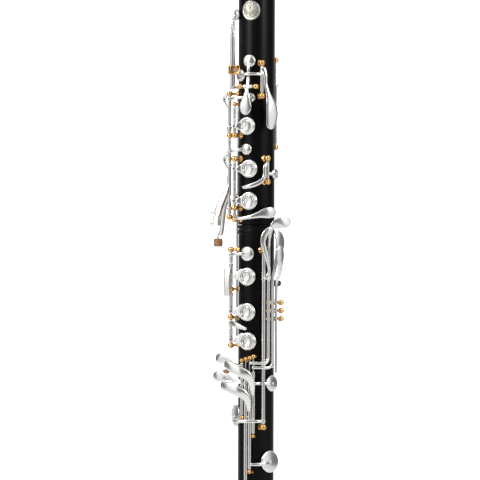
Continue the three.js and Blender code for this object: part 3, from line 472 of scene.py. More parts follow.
def cup(name, hole, body, node, boss=True):
    """A closed key's cup: leather pad, rolled edge, soft dome and a small boss where the arm is brazed on."""
    phi, z, radius = hole
    base = JOINT_LINE + UP * (z * MM)
    pad(name + "_pad", hole, body, node)
    profile = [(0, PAD_R + 0.9), (radius - 0.6, PAD_R + 0.9), (radius, PAD_R + 1.1), (radius, PAD_R + 2.1),
        (radius - 0.5, PAD_R + 2.6)]
    for share in (0.85, 0.7, 0.52, 0.34, 0.15):
        profile.append((radius * share, PAD_R + 2.6 + 1.3 * (1 - share * share)))
    profile.append((0, PAD_R + 3.9))
    turned(name, profile, base, outward(phi), SILVER, body, (node,), 0.3, 48)
    if boss:
        top = PAD_R + 3.7
        turned(name + "_boss", [(0, top - 0.6), (1.5, top - 0.6), (1.3, top + 0.2), (0.6, top + 0.6),
            (0, top + 0.65)], base, outward(phi), SILVER, body, (node,), 0.2, 24)


def finger_plate(name, hole, body, node):
    """A plateau cup: pad, cup wall, wide flat rim, raised inner ring and a shallow dish for the fingertip;
    thin darker rings in its two grooves are painted shade.
    """
    phi, z, radius = hole
    base = JOINT_LINE + UP * (z * MM)
    pad(name + "_pad", hole, body, node)
    low = PAD_R
    wall = [(0, low + 0.9), (radius - 0.7, low + 0.9), (radius, low + 1.2), (radius, low + 2.4),
        (radius - 0.7, low + 3), (0, low + 3)]
    turned(name + "_cup", wall, base, outward(phi), SILVER, body, (node,), 0.35, 56)
    top = low + 4.8
    rim = radius - 0.5
    plate = [(0, low + 2.8), (rim - 1.4, low + 2.8), (rim - 0.1, top - 1), (rim, top - 0.6),
        (rim - 0.4, top - 0.15), (rim * 0.77, top), (rim * 0.74, top - 0.7), (rim * 0.7, top - 0.7),
        (rim * 0.67, top - 0.05), (rim * 0.6, top - 0.05), (rim * 0.57, top - 0.6), (rim * 0.5, top - 0.7),
        (rim * 0.36, top - 1), (rim * 0.18, top - 1.2), (0, top - 1.25)]
    turned(name + "_plate", plate, base, outward(phi), SILVER, body, (node,), 0.25, 64)
    # Thin rings of darker silver sit in the grooves as painted shade, darkening the creases.
    for label, share, depth in (("outer", 0.72, 0.62), ("inner", 0.52, 0.55)):
        groove = [(rim * share - 0.22, top - depth - 0.2), (rim * share + 0.22, top - depth - 0.2),
            (rim * share + 0.22, top - depth + 0.1), (rim * share - 0.22, top - depth + 0.1)]
        turned(f"{name}_groove_{label}", groove, base, outward(phi), GROOVE_SHADE, body, (node,), 0.05, 64, True)


def plate_arm(name, line, hole, z, body, node, lift=27.6):
    """The web from the hinge tube, widening to meet the plate's rim on both sides."""
    phi = line[0]
    target = hole[0]
    top = PAD_R + 3.6
    span = target - phi
    rows = [(phi - 3, lift - 0.2, z, 1.7, 1.2), (phi + 4, lift + 0.3, z, 1.8, 1.2),
        (phi + span * 0.32, lift - 0.1, z, 2.4, 1), (phi + span * 0.5, top + 1.6, z, 4.4, 0.8),
        (phi + span * 0.66, top + 0.5, z, 6.6, 0.6), (phi + span * 0.84, top, z, 8, 0.5),
        (phi + span * 0.95, top - 0.2, z, 8.2, 0.4)]
    swept(name, rows, SILVER, body, (node,), square=3, per=5)


def key(body, line=None, tube=None, hole=None, arms=(), radius=TUBE_R, collars=()):
    """Hinge tube, cup with its pad, and plain arms of one key; touches are added on top."""
    if tube:
        hinge_tube(body + "_tube", LINE[line], *tube, body, body, radius, collars)
    if hole:
        cup(body + "_cup", HOLES[hole], body, body)
    for i, rows in enumerate(arms):
        swept(f"{body}_arm_{i + 1}", rows, SILVER, body, (body,))


def touch(body, name, rows, crown=0.35, **more):
    swept(f"{body}_{name}", rows, SILVER, body, (body,), crown=crown, square=2.8, sides=32, per=10, **more)


def plate_key(body, line, tube, hole, arm_z, collars=()):
    hinge_tube(body + "_tube", LINE[line], *tube, body, body, collars=collars)
    finger_plate(body, HOLES[hole], body, body)
    plate_arm(body + "_arm", LINE[line], HOLES[hole], arm_z, body, body)


# ---- Wooden joints ----
def wooden_joints():
    upper = [(BORE_R, -18), (14.6, -18), (14.6, 0.3), (BODY_R - 0.4, 0.3), (BODY_R, 0.8), (BODY_R, 259),
        (16.6, 259), (16.6, 277), (BORE_R, 277)]
    turned("upper_wood", upper, JOINT_LINE, UP, WOOD, "body", ("upper_joint", "middle_tenon_cork"), 0.3,
        128, True)
    lower = [(BORE_R, -420), (15.6, -420), (15.6, -400), (17.9, -400), (17.9, -9), (BODY_R + 0.45, -8.2),
        (BODY_R + 0.45, -5.6), (17.8, -4.4), (17.8, -3.8), (BODY_R + 0.45, -2.7), (BODY_R + 0.45, -0.2),
        (BODY_R, 0), (BORE_R, 0)]
    turned("lower_wood", lower, JOINT_LINE, UP, WOOD, "body", ("lower_joint",), 0.3, 128, True)
    for name, (phi, z, radius) in HOLES.items():
        wall = [(radius - 1.3, 16), (radius - 1.5, RIM_R - 0.5), (radius - 1.9, RIM_R),
            (radius - 2.9, RIM_R - 0.1), (radius - 3.3, RIM_R - 0.6), (radius - 3.3, 16)]
        node = "upper_joint" if z > 0 else "lower_joint"
        turned("tone_hole_" + name, wall, JOINT_LINE + UP * (z * MM), outward(phi), WOOD, "body", (node,),
            0.2, 48, True)


def socket_and_badge():
    socket = [(14.4, 277.3), (14.4, 282.6), (15, 283), (18.8, 283), (19.2, 282.4), (19.2, 280.4),
        (18.6, 279.6), (18, 279), (18, 266), (18.6, 264.8), (19.2, 264), (19.2, 260.6), (18.7, 260),
        (16.9, 260), (16.9, 277.3)]
    turned("neck_socket_metal", socket, JOINT_LINE, UP, SILVER, "body", ("neck_socket",), 0.3, 96, True)
    rings = []
    steps, sides = 22, 96
    for i in range(steps + 1):
        r = 9.8 * i / steps
        ring = []
        for k in range(sides):
            turn = 2 * pi * k / sides
            leaf = 0.09 * cos(turn * 16) * min(r / 3, 1) * (1 if r < 7.6 else 0)
            edge = 0.28 if 8.3 < r < 9.6 else 0
            depth = 0.24 + leaf + edge - (0.3 if i == steps else 0)
            across = r * cos(turn)
            angle = across / (BODY_R + 0.3) * 180 / pi
            ring.append(station(angle, BODY_R + 0.35 + depth, 214 + r * sin(turn)))
        rings.append(ring)
    vertices, faces = skin(rings)
    make("badge_rosette", vertices, faces[:-1], BADGE, "body", ("badge",), sharp=60)


# ---- Posts and rods ----
def line_posts():
    """The rows of posts that carry one straight hinge line each: (height, ball radius) of every post."""
    rows = {
        "g_sharp_posts": ("g_sharp", [(161.5, BALL_R), (128.5, BALL_R)]),
        "side_line_posts": ("side", [(131, BALL_R), (89.5, BALL_R), (8, BALL_R)]),
        "left_key_1_posts": ("upper", [(120.5, 2.4), (89.5, BALL_R)]),
        "upper_stack_posts": ("upper", [(66, 3.3), (17, BALL_R), (5.2, 2.6)]),
        "left_sliver_posts": ("sliver", [(66.5, BALL_R), (43, BALL_R)]),
        "thumb_line_posts": ("thumb", [(165.5, BALL_R), (78, BALL_R)]),
        "lower_stack_posts": ("lower", [(-24.5, BALL_R), (-64, BALL_R), (-92, BALL_R), (-120, BALL_R)]),
        "long_key_posts": ("long", [(-25, BALL_R), (-201.5, BALL_R)]),
        "low_key_posts": ("low", [(-290, BALL_R), (-345, BALL_R)]),
    }
    for node, (line, balls) in rows.items():
        heights = [z for z, ball in balls]
        rod(node + "_rod", LINE[line], min(heights), max(heights), node)
        for i, (z, ball) in enumerate(balls):
            post(f"{node}_{i + 1}", *LINE[line], z, node, ball)


def pinky_posts():
    pinky = [("pinky_1", -131, -210.5, 1.8), ("pinky_2", -132.4, -246, 2.1), ("pinky_3", -133.6, -313, 2.6),
        ("pinky_4", -135, -191.8, 2.2)]
    for line, top, end, ball in pinky:
        rod(line + "_rod", LINE[line], end, top, "pinky_posts", 0.7)
        post(line + "_post_top", *LINE[line], top, "pinky_posts", 2.2)
        post(line + "_post_end", *LINE[line], end, "pinky_posts", ball)


def lever_and_throat_posts():
    for i, z in enumerate((-77.3, -85.4, -93.5)):
        node = f"lever_posts_{i + 1}"
        post(node + "_near", *LEVER_LINE, z, node, 1.8, -6.5, 1)
        post(node + "_far", *LEVER_LINE, z, node, 2.9, 12.5)
        turned(node + "_rod", [(0, -6), (0.9, -6), (0.9, 12), (0, 12)], station(*LEVER_LINE, z),
            sideways(LEVER_LINE[0]), STEEL, "body", (node,), 0.1, 20)
    for side in (1, -1):
        post(f"throat_a_post_{side + 2}", *THROAT_ROD, "throat_a_posts", 2.8, 8.2 * side)
    turned("throat_a_rod", [(0, -8), (0.9, -8), (0.9, 8), (0, 8)], station(*THROAT_ROD),
        sideways(THROAT_ROD[0]), STEEL, "body", ("throat_a_posts",), 0.1, 20)


def little_finger_corks():
    """Cork block glued under a touch, which quiets its fall."""
    rows = [(-34, 32.4, -146.2, 1.4, 1), (-39, 34, -146, 1.8, 1.2), (-45, 35.6, -145.8, 1.8, 1)]
    swept("right_pinky_key_3_cork", rows, CORK, "right_pinky_key_3", ("right_pinky_key_3",), square=6)


def spring_rods():
    """Thin rods between the stacks' posts, close to the wood."""
    for name, phi, low, high, node in (("right", -46.5, -119, -26, "lower_stack_posts"),
                                       ("left", -41, 8, 128, "side_line_posts"),
                                       ("middle", -46, -22, 4, "side_line_posts")):
        rod(f"spring_rod_{name}", (phi, 21), low, high, node, 0.95)


def register_saddle():
    """A waisted gold saddle whose two cheeks carry the register key's pivot screw."""
    at = JOINT_LINE + UP * (SADDLE_Z * MM)
    foot = [(0, 17.8), (5, 18), (5, 18.9), (4, 19.8), (3.6, 20.6), (4.4, 21), (0, 21)]
    turned("register_saddle_foot", foot, at, outward(REGISTER_PHI), GOLD, "body", ("register_saddle",), 0.3,
        40)
    for side in (1, -1):
        cheek = at + sideways(REGISTER_PHI) * (4.1 * side * MM)
        path = [outward(REGISTER_PHI) * (r * MM) + cheek for r in (20, 24, 28.2)]
        block(f"register_cheek_{side + 2}", path, 4.6, 0.75, sideways(REGISTER_PHI), GOLD,
            "register_saddle")
    turned("register_pivot", [(0, -4.9), (1.6, -4.9), (1.6, 4.9), (0, 4.9)], station(REGISTER_PHI, 24.8,
        SADDLE_Z), sideways(REGISTER_PHI), STEEL, "body", ("register_saddle",), 0.3, 24)


def block(name, path, half_w, half_t, facing, material, node, body="body"):
    """A rounded flat bar through points in metres, its thin side along facing."""
    rings = []
    count = len(path)
    along = (Vector(path[-1]) - Vector(path[0])).normalized()
    across = along.cross(facing).normalized()
    for i, spot in enumerate(path):
        loops = ((1, 0),)
        if i == 0:
            loops = ((0.8, 0), (1, 0.35))
        elif i == count - 1:
            loops = ((1, -0.35), (0.8, 0))
        for inset, shift in loops:
            ring = []
            for x, y in section(half_w * inset, half_t * inset, 4, 24):
                ring.append(Vector(spot) + (across * x + facing * y + along * shift) * MM)
            rings.append(ring)
    return make(name, *skin(rings), material, body, (node,))


# ---- Keys of the upper joint ----
def register_and_throat_keys():
    key("register_key", hole="register")
    touch("register_key", "lever", [(-56, 24.6, 136, 2.5, 2.3), (-56, 24.7, 150, 2.8, 2.5),
        (-56, 24.7, 185, 2.8, 2.5), (-55.4, 24.7, 198, 2.3, 1.8), (-54, 24, 210.3, 1.8, 1)], crown=0)
    key("throat_a_key", hole="throat_a", arms=[[(0, 23.6, 163, 1.8, 0.8), (0, 24.6, 156, 1.5, 0.9),
        (0, 24.8, 150, 1.5, 0.9), (0, 26.4, 141, 1.7, 1.2), (0, 28, 135, 1.7, 1)]])
    touch("throat_a_key", "touch", [(0, 28.2, 137, 1.6, 0.8), (-0.5, 29.6, 131, 2.3, 0.9),
        (-1, 30.6, 124, 4.8, 0.9), (-1.5, 30.8, 117, 6.2, 0.9), (-1.5, 30.4, 109.5, 4.4, 0.8)])
    turned("throat_a_key_tube", [(0, -4.8), (1.6, -4.8), (1.9, -4.4), (1.9, 4.4), (1.6, 4.8), (0, 4.8)],
        station(*THROAT_ROD), sideways(THROAT_ROD[0]), SILVER, "throat_a_key", ("throat_a_key",), 0.2, 28)


def g_sharp_key():
    key("g_sharp_key", "g_sharp", (131.9, 158.1), "g_sharp",
        [[(31, 28, 150, 1.4, 1.2), (16, 30.2, 150.4, 1.4, 1.1), (0, 30.4, 150.2, 1.4, 1.1),
        (-14, 28.2, 149.6, 1.4, 1), (-26, 23.8, 149, 1.8, 0.8)]], collars=(150,))
    touch("g_sharp_key", "leaf", [(33, 27.6, 157, 2.4, 0.9), (37.5, 28.6, 150, 2, 1), (38.5, 28.8, 140, 1.8,
        1), (43, 29.8, 130, 2.6, 1), (47.4, 31, 120, 5.2, 0.9), (49.6, 31.2, 110, 6.4, 0.9),
        (47, 31, 100, 5, 0.8), (45.6, 30.8, 95.2, 4, 0.7)])


def side_key_high():
    key("side_key_high", "side", (92.9, 127.6), "side_high",
        [[(-58, 27.8, 125.6, 1.5, 1.2), (-44, 29.2, 126, 1.5, 1), (-30, 28.2, 126.4, 1.4, 0.9),
        (-14, 25.4, 127, 1.4, 0.9), (1, 24, 127, 1.4, 0.7)], [(-63, 28.4, 97, 1.7, 1),
        (-75, 29.4, 96.4, 1.6, 0.9), (-89, 30, 93, 1.6, 0.9), (-98, 30.4, 82, 1.6, 0.9),
        (-98, 30.4, 52, 1.6, 0.9), (-92, 30.2, 38, 1.8, 0.9), (-84, 30.6, 28, 2.2, 0.9)],
        [(-61, 28.6, 131.4, 1, 0.9), (-67, 32.4, 126, 1.2, 2), (-62, 28.8, 117, 1, 0.9)]],
        collars=(125.6, 97))
    swept("side_key_high_touch", [(-84, 30.4, 30, 1.8, 0.8), (-76, 30.6, 25, 2.3, 0.8),
        (-75, 32.9, 12, 2.6, 0.8), (-75, 34.2, 0, 2.6, 0.8), (-75, 35.6, -11, 2.4, 0.8)], SILVER,
        "side_key_high", ("side_key_high",), facing=FRONT, crown=0.3, per=10)
    swept("side_key_high_bumper_rod", [(-75, 34.8, -4, 0.9, 0.9), (-74, 38, -8, 0.9, 0.9),
        (-73, 38.4, -14, 0.9, 0.9)], SILVER, "side_key_high", ("side_key_high",), facing=FRONT, square=2)
    knob = [(0, -4.1), (3.4, -4.1), (4.4, -3.2), (4.6, 0), (4.4, 3.2), (3.4, 4.1), (0, 4.1)]
    turned("side_key_high_bumper", knob, station(-73, 38.2, -17.6), UP, CORK, "side_key_high",
        ("side_key_high",), 0.5, 40)


def side_key_low():
    key("side_key_low", "side", (11.4, 86.1), "side_low",
        [[(-58, 28, 73, 1.5, 1.1), (-40, 29.2, 73.6, 1.5, 1), (-24, 27, 74.6, 1.5, 0.9),
        (-11, 24, 75.4, 1.6, 0.7)], [(-61, 28.6, 72, 1, 0.9), (-66, 32, 65.6, 1.2, 2),
        (-62, 28.8, 56, 1, 0.9)]], collars=(73, 60, 16))
    lever_rows = [(-61, 28.4, 50, 1.5, 0.8), (-61, 28.6, 40, 1.9, 0.8), (-61, 30.9, 32, 3, 0.8),
        (-61, 34.7, 24, 3.9, 0.8), (-61, 37.7, 16, 4.3, 0.8), (-61, 39.6, 8, 4.3, 0.9)]
    swept("side_key_low_touch", lever_rows, SILVER, "side_key_low", ("side_key_low",), facing=FRONT,
        crown=0.2, per=10)
    inlay = [(phi + 1.4, r - 0.6, z, width * 0.62, 0.5) for phi, r, z, width, _ in lever_rows[1:]]
    swept("side_key_low_inlay", inlay, LEATHER, "side_key_low", ("side_key_low",), facing=FRONT, per=8)
    plate = [station(-60, r, z) for r, z in ((40.2, 9.6), (40.6, 4.5), (41, -0.6))]
    block("side_key_low_plate", plate, 4, 1.7, FRONT, SILVER, "side_key_low", "side_key_low")
    for z in (12.4, 1.8):
        ball = [(0, -4.6), (0.8, -4.6), (0.8, -1.4)]
        ball += [(1.6 * cos(radians(t)), 1.6 * sin(radians(t))) for t in range(-60, 91, 15)]
        turned(f"side_key_low_screw_{z:.0f}", ball, station(-61, 45.4, z), outward(-64), SILVER,
            "side_key_low", ("side_key_low",), 0.1, 24)


def left_hand_keys():
    plate_key("left_key_1", "upper", (92.9, 117.7), "left_1", 98.7, (98.7,))
    plate_key("left_key_2", "upper", (43.4, 62.3), "left_2", 56, (56,))
    plate_key("left_key_3", "upper", (20.4, 42.8), "left_3", 24, (24,))
    key("left_c_sharp_key", "upper", (8.4, 13.6), "c_sharp",
        [[(-37, 25.4, 11, 1.4, 0.9), (-44, 23.8, 14, 1.3, 0.8), (-47, 23.6, 20, 1.3, 0.7),
        (-48, 23.8, 26, 1.6, 0.7)]])
    touch("left_c_sharp_key", "touch", [(-34, 27.8, 11, 1.4, 1), (-27, 29, 8, 1.6, 0.9),
        (-14, 29.4, 6.4, 1.7, 0.9), (8, 29.6, 8, 2, 0.9), (24, 30, 10, 3.2, 0.9), (36, 30.4, 11.6, 5, 0.9),
        (47, 30.8, 12.4, 5.4, 0.9), (58.6, 30.9, 12.8, 4.6, 0.8)])
    key("left_sliver_key", "sliver", (46.4, 63.1), "sliver",
        [[(46, 27.4, 51, 1.5, 1), (60, 27.4, 51, 1.5, 0.9), (72, 25.6, 51, 1.6, 0.8),
        (80, 24, 51, 1.8, 0.7)]])
    touch("left_sliver_key", "touch", [(43, 27.6, 61, 2.2, 0.8), (37, 28.2, 58, 1.7, 0.9),
        (36.6, 28.4, 50, 1.8, 0.9), (32, 28.8, 45, 2, 0.9), (20, 28.9, 41, 2.3, 0.9),
        (5, 28.7, 38.6, 2.1, 0.8), (-10.6, 27.8, 37.2, 1.4, 0.6)])


def thumb_keys():
    hinge_tube("thumb_plate_tube", LINE["thumb"], 81.4, 104, "thumb_plate_key", "thumb_plate_key")
    finger_plate("thumb_plate", HOLES["thumb"], "thumb_plate_key", "thumb_plate_key")
    swept("thumb_plate_arm", [(156, 27.8, 92, 1.6, 1.1), (162, 27.4, 92, 2.6, 0.9),
        (168, 24.8, 92, 4.6, 0.7), (176, 23.6, 92, 5.6, 0.5)], SILVER, "thumb_plate_key",
        ("thumb_plate_key",))
    key("thumb_register_lever", "thumb", (104.6, 162.1), None,
        [[(156, 27.8, 140, 1.5, 1), (180, 28.4, 140, 1.5, 1), (210, 27.6, 139, 1.5, 1),
        (240, 27, 138, 1.5, 1), (272, 26.6, 137.6, 1.5, 0.9), (286, 26.4, 137.6, 1.7, 0.8)]],
        collars=(112, 140))
    touch("thumb_register_lever", "touch", [(156, 27.8, 112, 1.8, 0.9), (168, 29, 111, 3.4, 0.9),
        (184, 29.2, 110, 5, 0.9), (198, 28.8, 110, 3.6, 0.8)])


# ---- Keys of the lower joint ----
def right_hand_keys():
    key("right_vent_key", "lower", (-37.6, -27.9), "right_vent",
        [[(-50, 27.8, -30, 1.5, 1.1), (-34, 28.2, -29.4, 1.5, 0.9), (-16, 26, -28.9, 1.5, 0.9),
        (-4, 24, -28.7, 1.6, 0.7)]], collars=(-30,))
    plate_key("right_key_1", "lower", (-60.6, -38.2), "right_1", -50.5, (-50.5, -40))
    bridge = [station(-48, r, z) for r, z in ((31, -43.6), (31.2, -56), (31.2, -71))]
    block("right_key_1_bridge", bridge, 3.4, 0.9, outward(-4), SILVER, "right_key_1", "right_key_1")
    swept("right_key_1_bridge_foot", [(-52, 27.6, -45, 1.6, 1.2), (-49, 29.6, -45, 1.6, 1.2),
        (-48, 31, -46, 1.6, 1)], SILVER, "right_key_1", ("right_key_1",))
    plate_key("right_key_2", "lower", (-88.6, -67.4), "right_2", -86, (-86, -69))
    plate_key("right_key_3", "lower", (-116.6, -103), "right_3", -114.5, (-114.5,))
    key("right_sliver_key", "lower", (-102.4, -95.4), "right_sliver",
        [[(-56, 27.4, -98, 1.4, 1), (-72, 27, -98, 1.5, 0.9), (-86, 24, -98, 1.8, 0.8)]])
    touch("right_sliver_key", "touch", [(-50, 27.8, -97, 1.6, 0.9), (-38, 28.8, -97.6, 2.6, 0.8),
        (-22, 28.8, -100.2, 2.6, 0.8), (0, 28, -103.8, 1.4, 0.6)])
    key("left_e_flat_key", "long", (-198.1, -28.4), "long",
        [[(37, 27.8, -54, 1.8, 0.8), (43, 28, -51, 1.6, 0.7), (46.5, 28.2, -44, 1.4, 0.7),
        (46.5, 28.4, -22, 1.4, 0.7), (47, 29, -10, 1.6, 0.8)], [(34, 28.6, -195.5, 1.6, 1.2),
        (20, 31, -195.5, 1.6, 1.1), (0, 31.4, -195.5, 1.6, 1), (-20, 31, -195.5, 1.6, 1),
        (-36, 27.6, -194, 1.7, 1.1), (-45, 24.2, -191.6, 2.4, 1)]], collars=(-195.5, -140, -54))
    touch("left_e_flat_key", "leaf", [(47, 28.6, -14, 1.4, 0.8), (49, 30.6, -4, 2.4, 0.8),
        (56, 33, 1, 4.6, 0.9), (66, 36.4, 2.6, 5.8, 0.9), (74, 39, 2.2, 5.4, 0.8), (77.6, 40.2, 1.6, 4.6,
        0.7)])


def lever(name, z, arm, web, tube):
    touch(name, "arm", arm)
    swept(name + "_web", web, SILVER, name, (name,))
    turned(name + "_tube", [(0, tube[0]), (1.8, tube[0]), (1.8, tube[1]), (0, tube[1])],
        station(*LEVER_LINE, z), sideways(LEVER_LINE[0]), SILVER, name, (name,), 0.25, 28)


def left_levers():
    r = 29.6
    lever("left_lever_1", -77.3, [(47, 35, -3.6, 1.6, 0.8), (40.5, 35, -5, 2.8, 0.9),
        (33.5, 34.8, -10, 3, 0.9), (31.2, 34.4, -17, 2.7, 0.9), (34.4, 33.8, -25, 2.4, 0.9),
        (38.6, 33.4, -33, 2, 0.9), (42.6, 32.6, -42, 1.7, 0.9), (44.2, 31.4, -52, 1.6, 0.9),
        (44.2, r, -62, 1.6, 0.9), (44.2, r, -128, 1.6, 0.9), (43, 30, -134, 1.6, 1),
        (37, 31, -137.4, 1.5, 1), (24, 31, -137.6, 1.5, 1), (7, 30.6, -137.4, 1.5, 0.9)],
        [(44.2, 29, -77.3, 1.5, 0.9), (47.5, 27.8, -77.3, 1.5, 0.9), (52.5, 26.7, -77.3, 1.5, 0.9),
        (57, 24.4, -77.3, 1.5, 0.9)], (-3.4, 1.6))
    lever("left_lever_2", -85.4, [(58, 32.6, -6, 3.4, 0.7), (62, 33.4, -11, 5.2, 0.9),
        (65, 33.6, -17, 6, 0.9), (64, 33, -25, 5.2, 0.9), (60, 31.8, -35, 3, 0.9),
        (56, 30.6, -46, 1.8, 0.9), (53.1, r, -62, 1.6, 0.9), (53.1, r, -134, 1.6, 0.9),
        (51, 30, -139, 1.6, 1), (44, 31, -141.9, 1.5, 1), (30, 31, -142, 1.5, 1),
        (12, 30.8, -142, 1.5, 0.9)], [(53.1, 29.2, -85.4, 1.5, 1), (57, 27.6, -85.4, 1.5, 1),
        (60, 25.2, -85.4, 1.5, 1)], (-3.4, 3.4))
    lever("left_lever_3", -93.5, [(56, 38, -20.6, 2.4, 0.7), (57, 38.6, -24, 4.2, 0.8),
        (58.6, 38.4, -30, 4.6, 0.8), (60, 37.6, -38, 3.2, 0.9), (61.4, 34.6, -50, 2, 0.9),
        (62.3, r, -64, 1.5, 0.9), (62.3, r, -140, 1.5, 0.9), (62, 29, -145, 1.4, 0.8)],
        [(62.3, 29.2, -93.5, 1.5, 1), (62, 27.4, -93.5, 1.5, 1), (61.5, 25.2, -93.5, 1.5, 1)], (-2.4, 4.4))


def little_finger_keys():
    key("right_pinky_key_1", "pinky_1", (-207.5, -146), "pinky_1",
        [[(15, 26.6, -158, 1.4, 1), (21, 24.4, -158, 1.5, 0.9), (30, 23.4, -158, 1.5, 0.8),
        (46, 23.4, -158, 1.5, 0.8), (58, 23.8, -158, 2, 0.7)]], 1.75)
    touch("right_pinky_key_1", "touch", [(13, 28.8, -170, 1.6, 0.9), (13.4, 30.6, -163, 2.4, 1.2),
        (11, 32.4, -155, 3.8, 1.8), (4, 34.2, -149.4, 4.9, 2.6), (-7, 35.4, -146, 5.2, 2.9),
        (-20, 36, -142, 5.2, 2.9), (-32, 36.6, -138.8, 5, 2.8), (-37, 36.8, -137.6, 4.8, 2.7)], crown=0)
    key("right_pinky_key_2", "pinky_2", (-243, -150), "pinky_2",
        [[(9, 28, -238.5, 1.5, 0.9), (22, 27.4, -238.5, 1.6, 0.9), (40, 26, -238, 1.7, 0.9),
        (53, 24, -237, 2.4, 0.8)]], 1.75)
    touch("right_pinky_key_2", "touch", [(6, 28.8, -186, 1.6, 0.9), (6, 30.6, -180, 2.4, 1.2),
        (4, 32.4, -173, 3.8, 1.8), (-3, 34.2, -168, 4.9, 2.6), (-13, 35.8, -165, 5.2, 2.9),
        (-26, 37.1, -161.6, 5.2, 2.9), (-37, 38.6, -159.8, 4.8, 2.7), (-42, 39.2, -159, 4.7, 2.6)], crown=0)
    key("right_pinky_key_3", "pinky_3", (-309.6, -150), "pinky_3",
        [[(-5, 28, -296, 1.6, 0.9), (-18, 27.6, -296, 1.7, 0.9), (-33, 24.4, -293.6, 2.6, 0.9)],
        [(-1, 27.4, -304, 1.4, 0.9), (6, 28, -304, 1.8, 0.8), (12, 28.2, -303, 1.8, 0.8)]], 1.75)
    touch("right_pinky_key_3", "touch", [(-3, 28.4, -158, 1.4, 0.8), (-8, 30.2, -157.8, 1.6, 0.8),
        (-14, 30.4, -156, 2, 0.8), (-28, 30.8, -153.6, 3.2, 1), (-40, 32.6, -150.8, 4.2, 1.3),
        (-50, 37, -151.2, 5.2, 2), (-58, 40.2, -150.6, 5, 2.1), (-61.4, 41.4, -150, 4.9, 2)], crown=0)
    key("right_pinky_key_4", "pinky_4", (-189.3, -138), None, (), 1.75)
    touch("right_pinky_key_4", "touch", [(-13, 28.6, -143, 1.4, 0.8), (-20, 29.4, -139.6, 2.2, 0.8),
        (-32, 30.4, -136.4, 3.2, 1), (-44, 33, -134.2, 4.4, 1.4), (-53, 36.6, -133, 4.9, 2),
        (-59, 39.2, -133, 4.8, 2.1), (-61.6, 40.1, -133, 4.7, 2)], crown=0)
    key("low_e_key", "low", (-341.6, -293.4), "low", [[(20, 28.2, -330, 1.7, 1), (32, 27.6, -330, 1.9, 0.9),
        (45, 24.6, -330, 2.8, 0.9)], [(17, 28.4, -303, 1.6, 0.9), (14, 30.4, -303, 1.8, 0.8),
        (8, 30.8, -303, 1.8, 0.8)]], collars=(-330,))


# ---- Bell, peg, neck and mouthpiece ----
BELL_START = -401
BOW_TOP = -463
BOW_R = 58
BOW_TURN = radians(140)
BELL_RUN = 70
BELL_LENGTH = BELL_START - BOW_TOP + BOW_R * BOW_TURN + BELL_RUN


def bell_point(u):
    """Where the bell's centre line is after the share u of its length, and its direction there."""
    s = u * BELL_LENGTH
    if s < BELL_START - BOW_TOP:
        return design(0, 0, BELL_START - s), Vector((0, 0, -1))
    turn = min((s - (BELL_START - BOW_TOP)) / BOW_R, BOW_TURN)
    spot = design(0, -BOW_R * (1 - cos(turn)), BOW_TOP - BOW_R * sin(turn))
    aim = Vector((0, -sin(turn), -cos(turn)))
    run = s - (BELL_START - BOW_TOP) - BOW_R * turn
    return spot + aim * (run * MM), aim


def bell_radius(u):
    return 17.4 + 8 * u + 6 * u * u + 34 * u ** 9


def ring_at(spot, aim, radius, sides, side=Vector((1, 0, 0))):
    other = aim.cross(side)
    ring = []
    for k in range(sides):
        turn = 2 * pi * k / sides
        ring.append(spot + (side * cos(turn) + other * sin(turn)) * (radius * MM))
    return ring


def bell():
    """One sheet of metal turned over at the mouth, with a ferrule at the joint."""
    steps, sides = 90, 96
    outer = [ring_at(*bell_point(i / steps), bell_radius(i / steps) - 0.1, sides) for i in range(steps)]
    mouth, aim = bell_point(1)
    rim = bell_radius(1)
    for inset, back in ((3.6, 2.6), (2.2, 2.1), (1.3, 1.4), (1.2, 0.9), (1.7, 0.5), (2.4, 0.5), (3.2, 1)):
        outer.append(ring_at(mouth - aim * (back * MM), aim, rim - inset, sides))
    inner = [ring_at(*bell_point(i / steps), bell_radius(i / steps) - 1.4, sides) for i in range(steps - 2,
        -1, -1)]
    make("bell_metal", *skin(outer + inner, True), SILVER, "body", ("bell",))
    ferrule = [(17.5, -401), (17.9, -402), (17.9, -417), (17.5, -418), (17.2, -418), (17.2, -401)]
    turned("bell_ferrule", ferrule, JOINT_LINE, UP, SILVER, "body", ("bell",), 0.3, 96, True)


def peg():
    at = design(0, -30, 0)
    holder = [(4.4, -593), (6.4, -593), (6.9, -592.4), (6.9, -590.6), (6.2, -589.8), (6.2, -575),
        (6.9, -574), (6.9, -564), (6.2, -563), (6.2, -546), (6.9, -543), (6.9, -532), (4.4, -532)]
    turned("peg_holder_tube", holder, at, UP, SILVER, "body", ("peg_holder",), 0.4, 48, True)
    turned("peg_rod_steel", [(0, -679), (3.6, -679), (4, -678.4), (4, -562), (3.6, -561), (0, -561)], at,
        UP, STEEL, "peg", ("peg_rod",), 0.3, 40)
    tip = [(0, -691), (5.4, -691), (6.8, -689.6), (7, -687), (6.6, -678), (6.2, -674), (6.4, -670),
        (5.6, -667.4), (4.1, -667), (4.1, -678.8), (0, -678.8)]
    turned("peg_tip_rubber", tip, at, UP, RUBBER, "peg", ("peg_tip",), 0.5, 48)
    knob = [(0, 7.6), (1.9, 7.6), (1.9, 13), (2.6, 13.6), (5.6, 13.8), (6.3, 14.4), (6.4, 15.7), (6.3, 17),
        (5.6, 17.7), (2, 17.9), (0, 17.9)]
    fluted("peg_screw_knob", knob, design(0, -30, -569), Vector((1, 0, 0)), 5, "peg_screw", "peg_screw", 18,
        0.35)


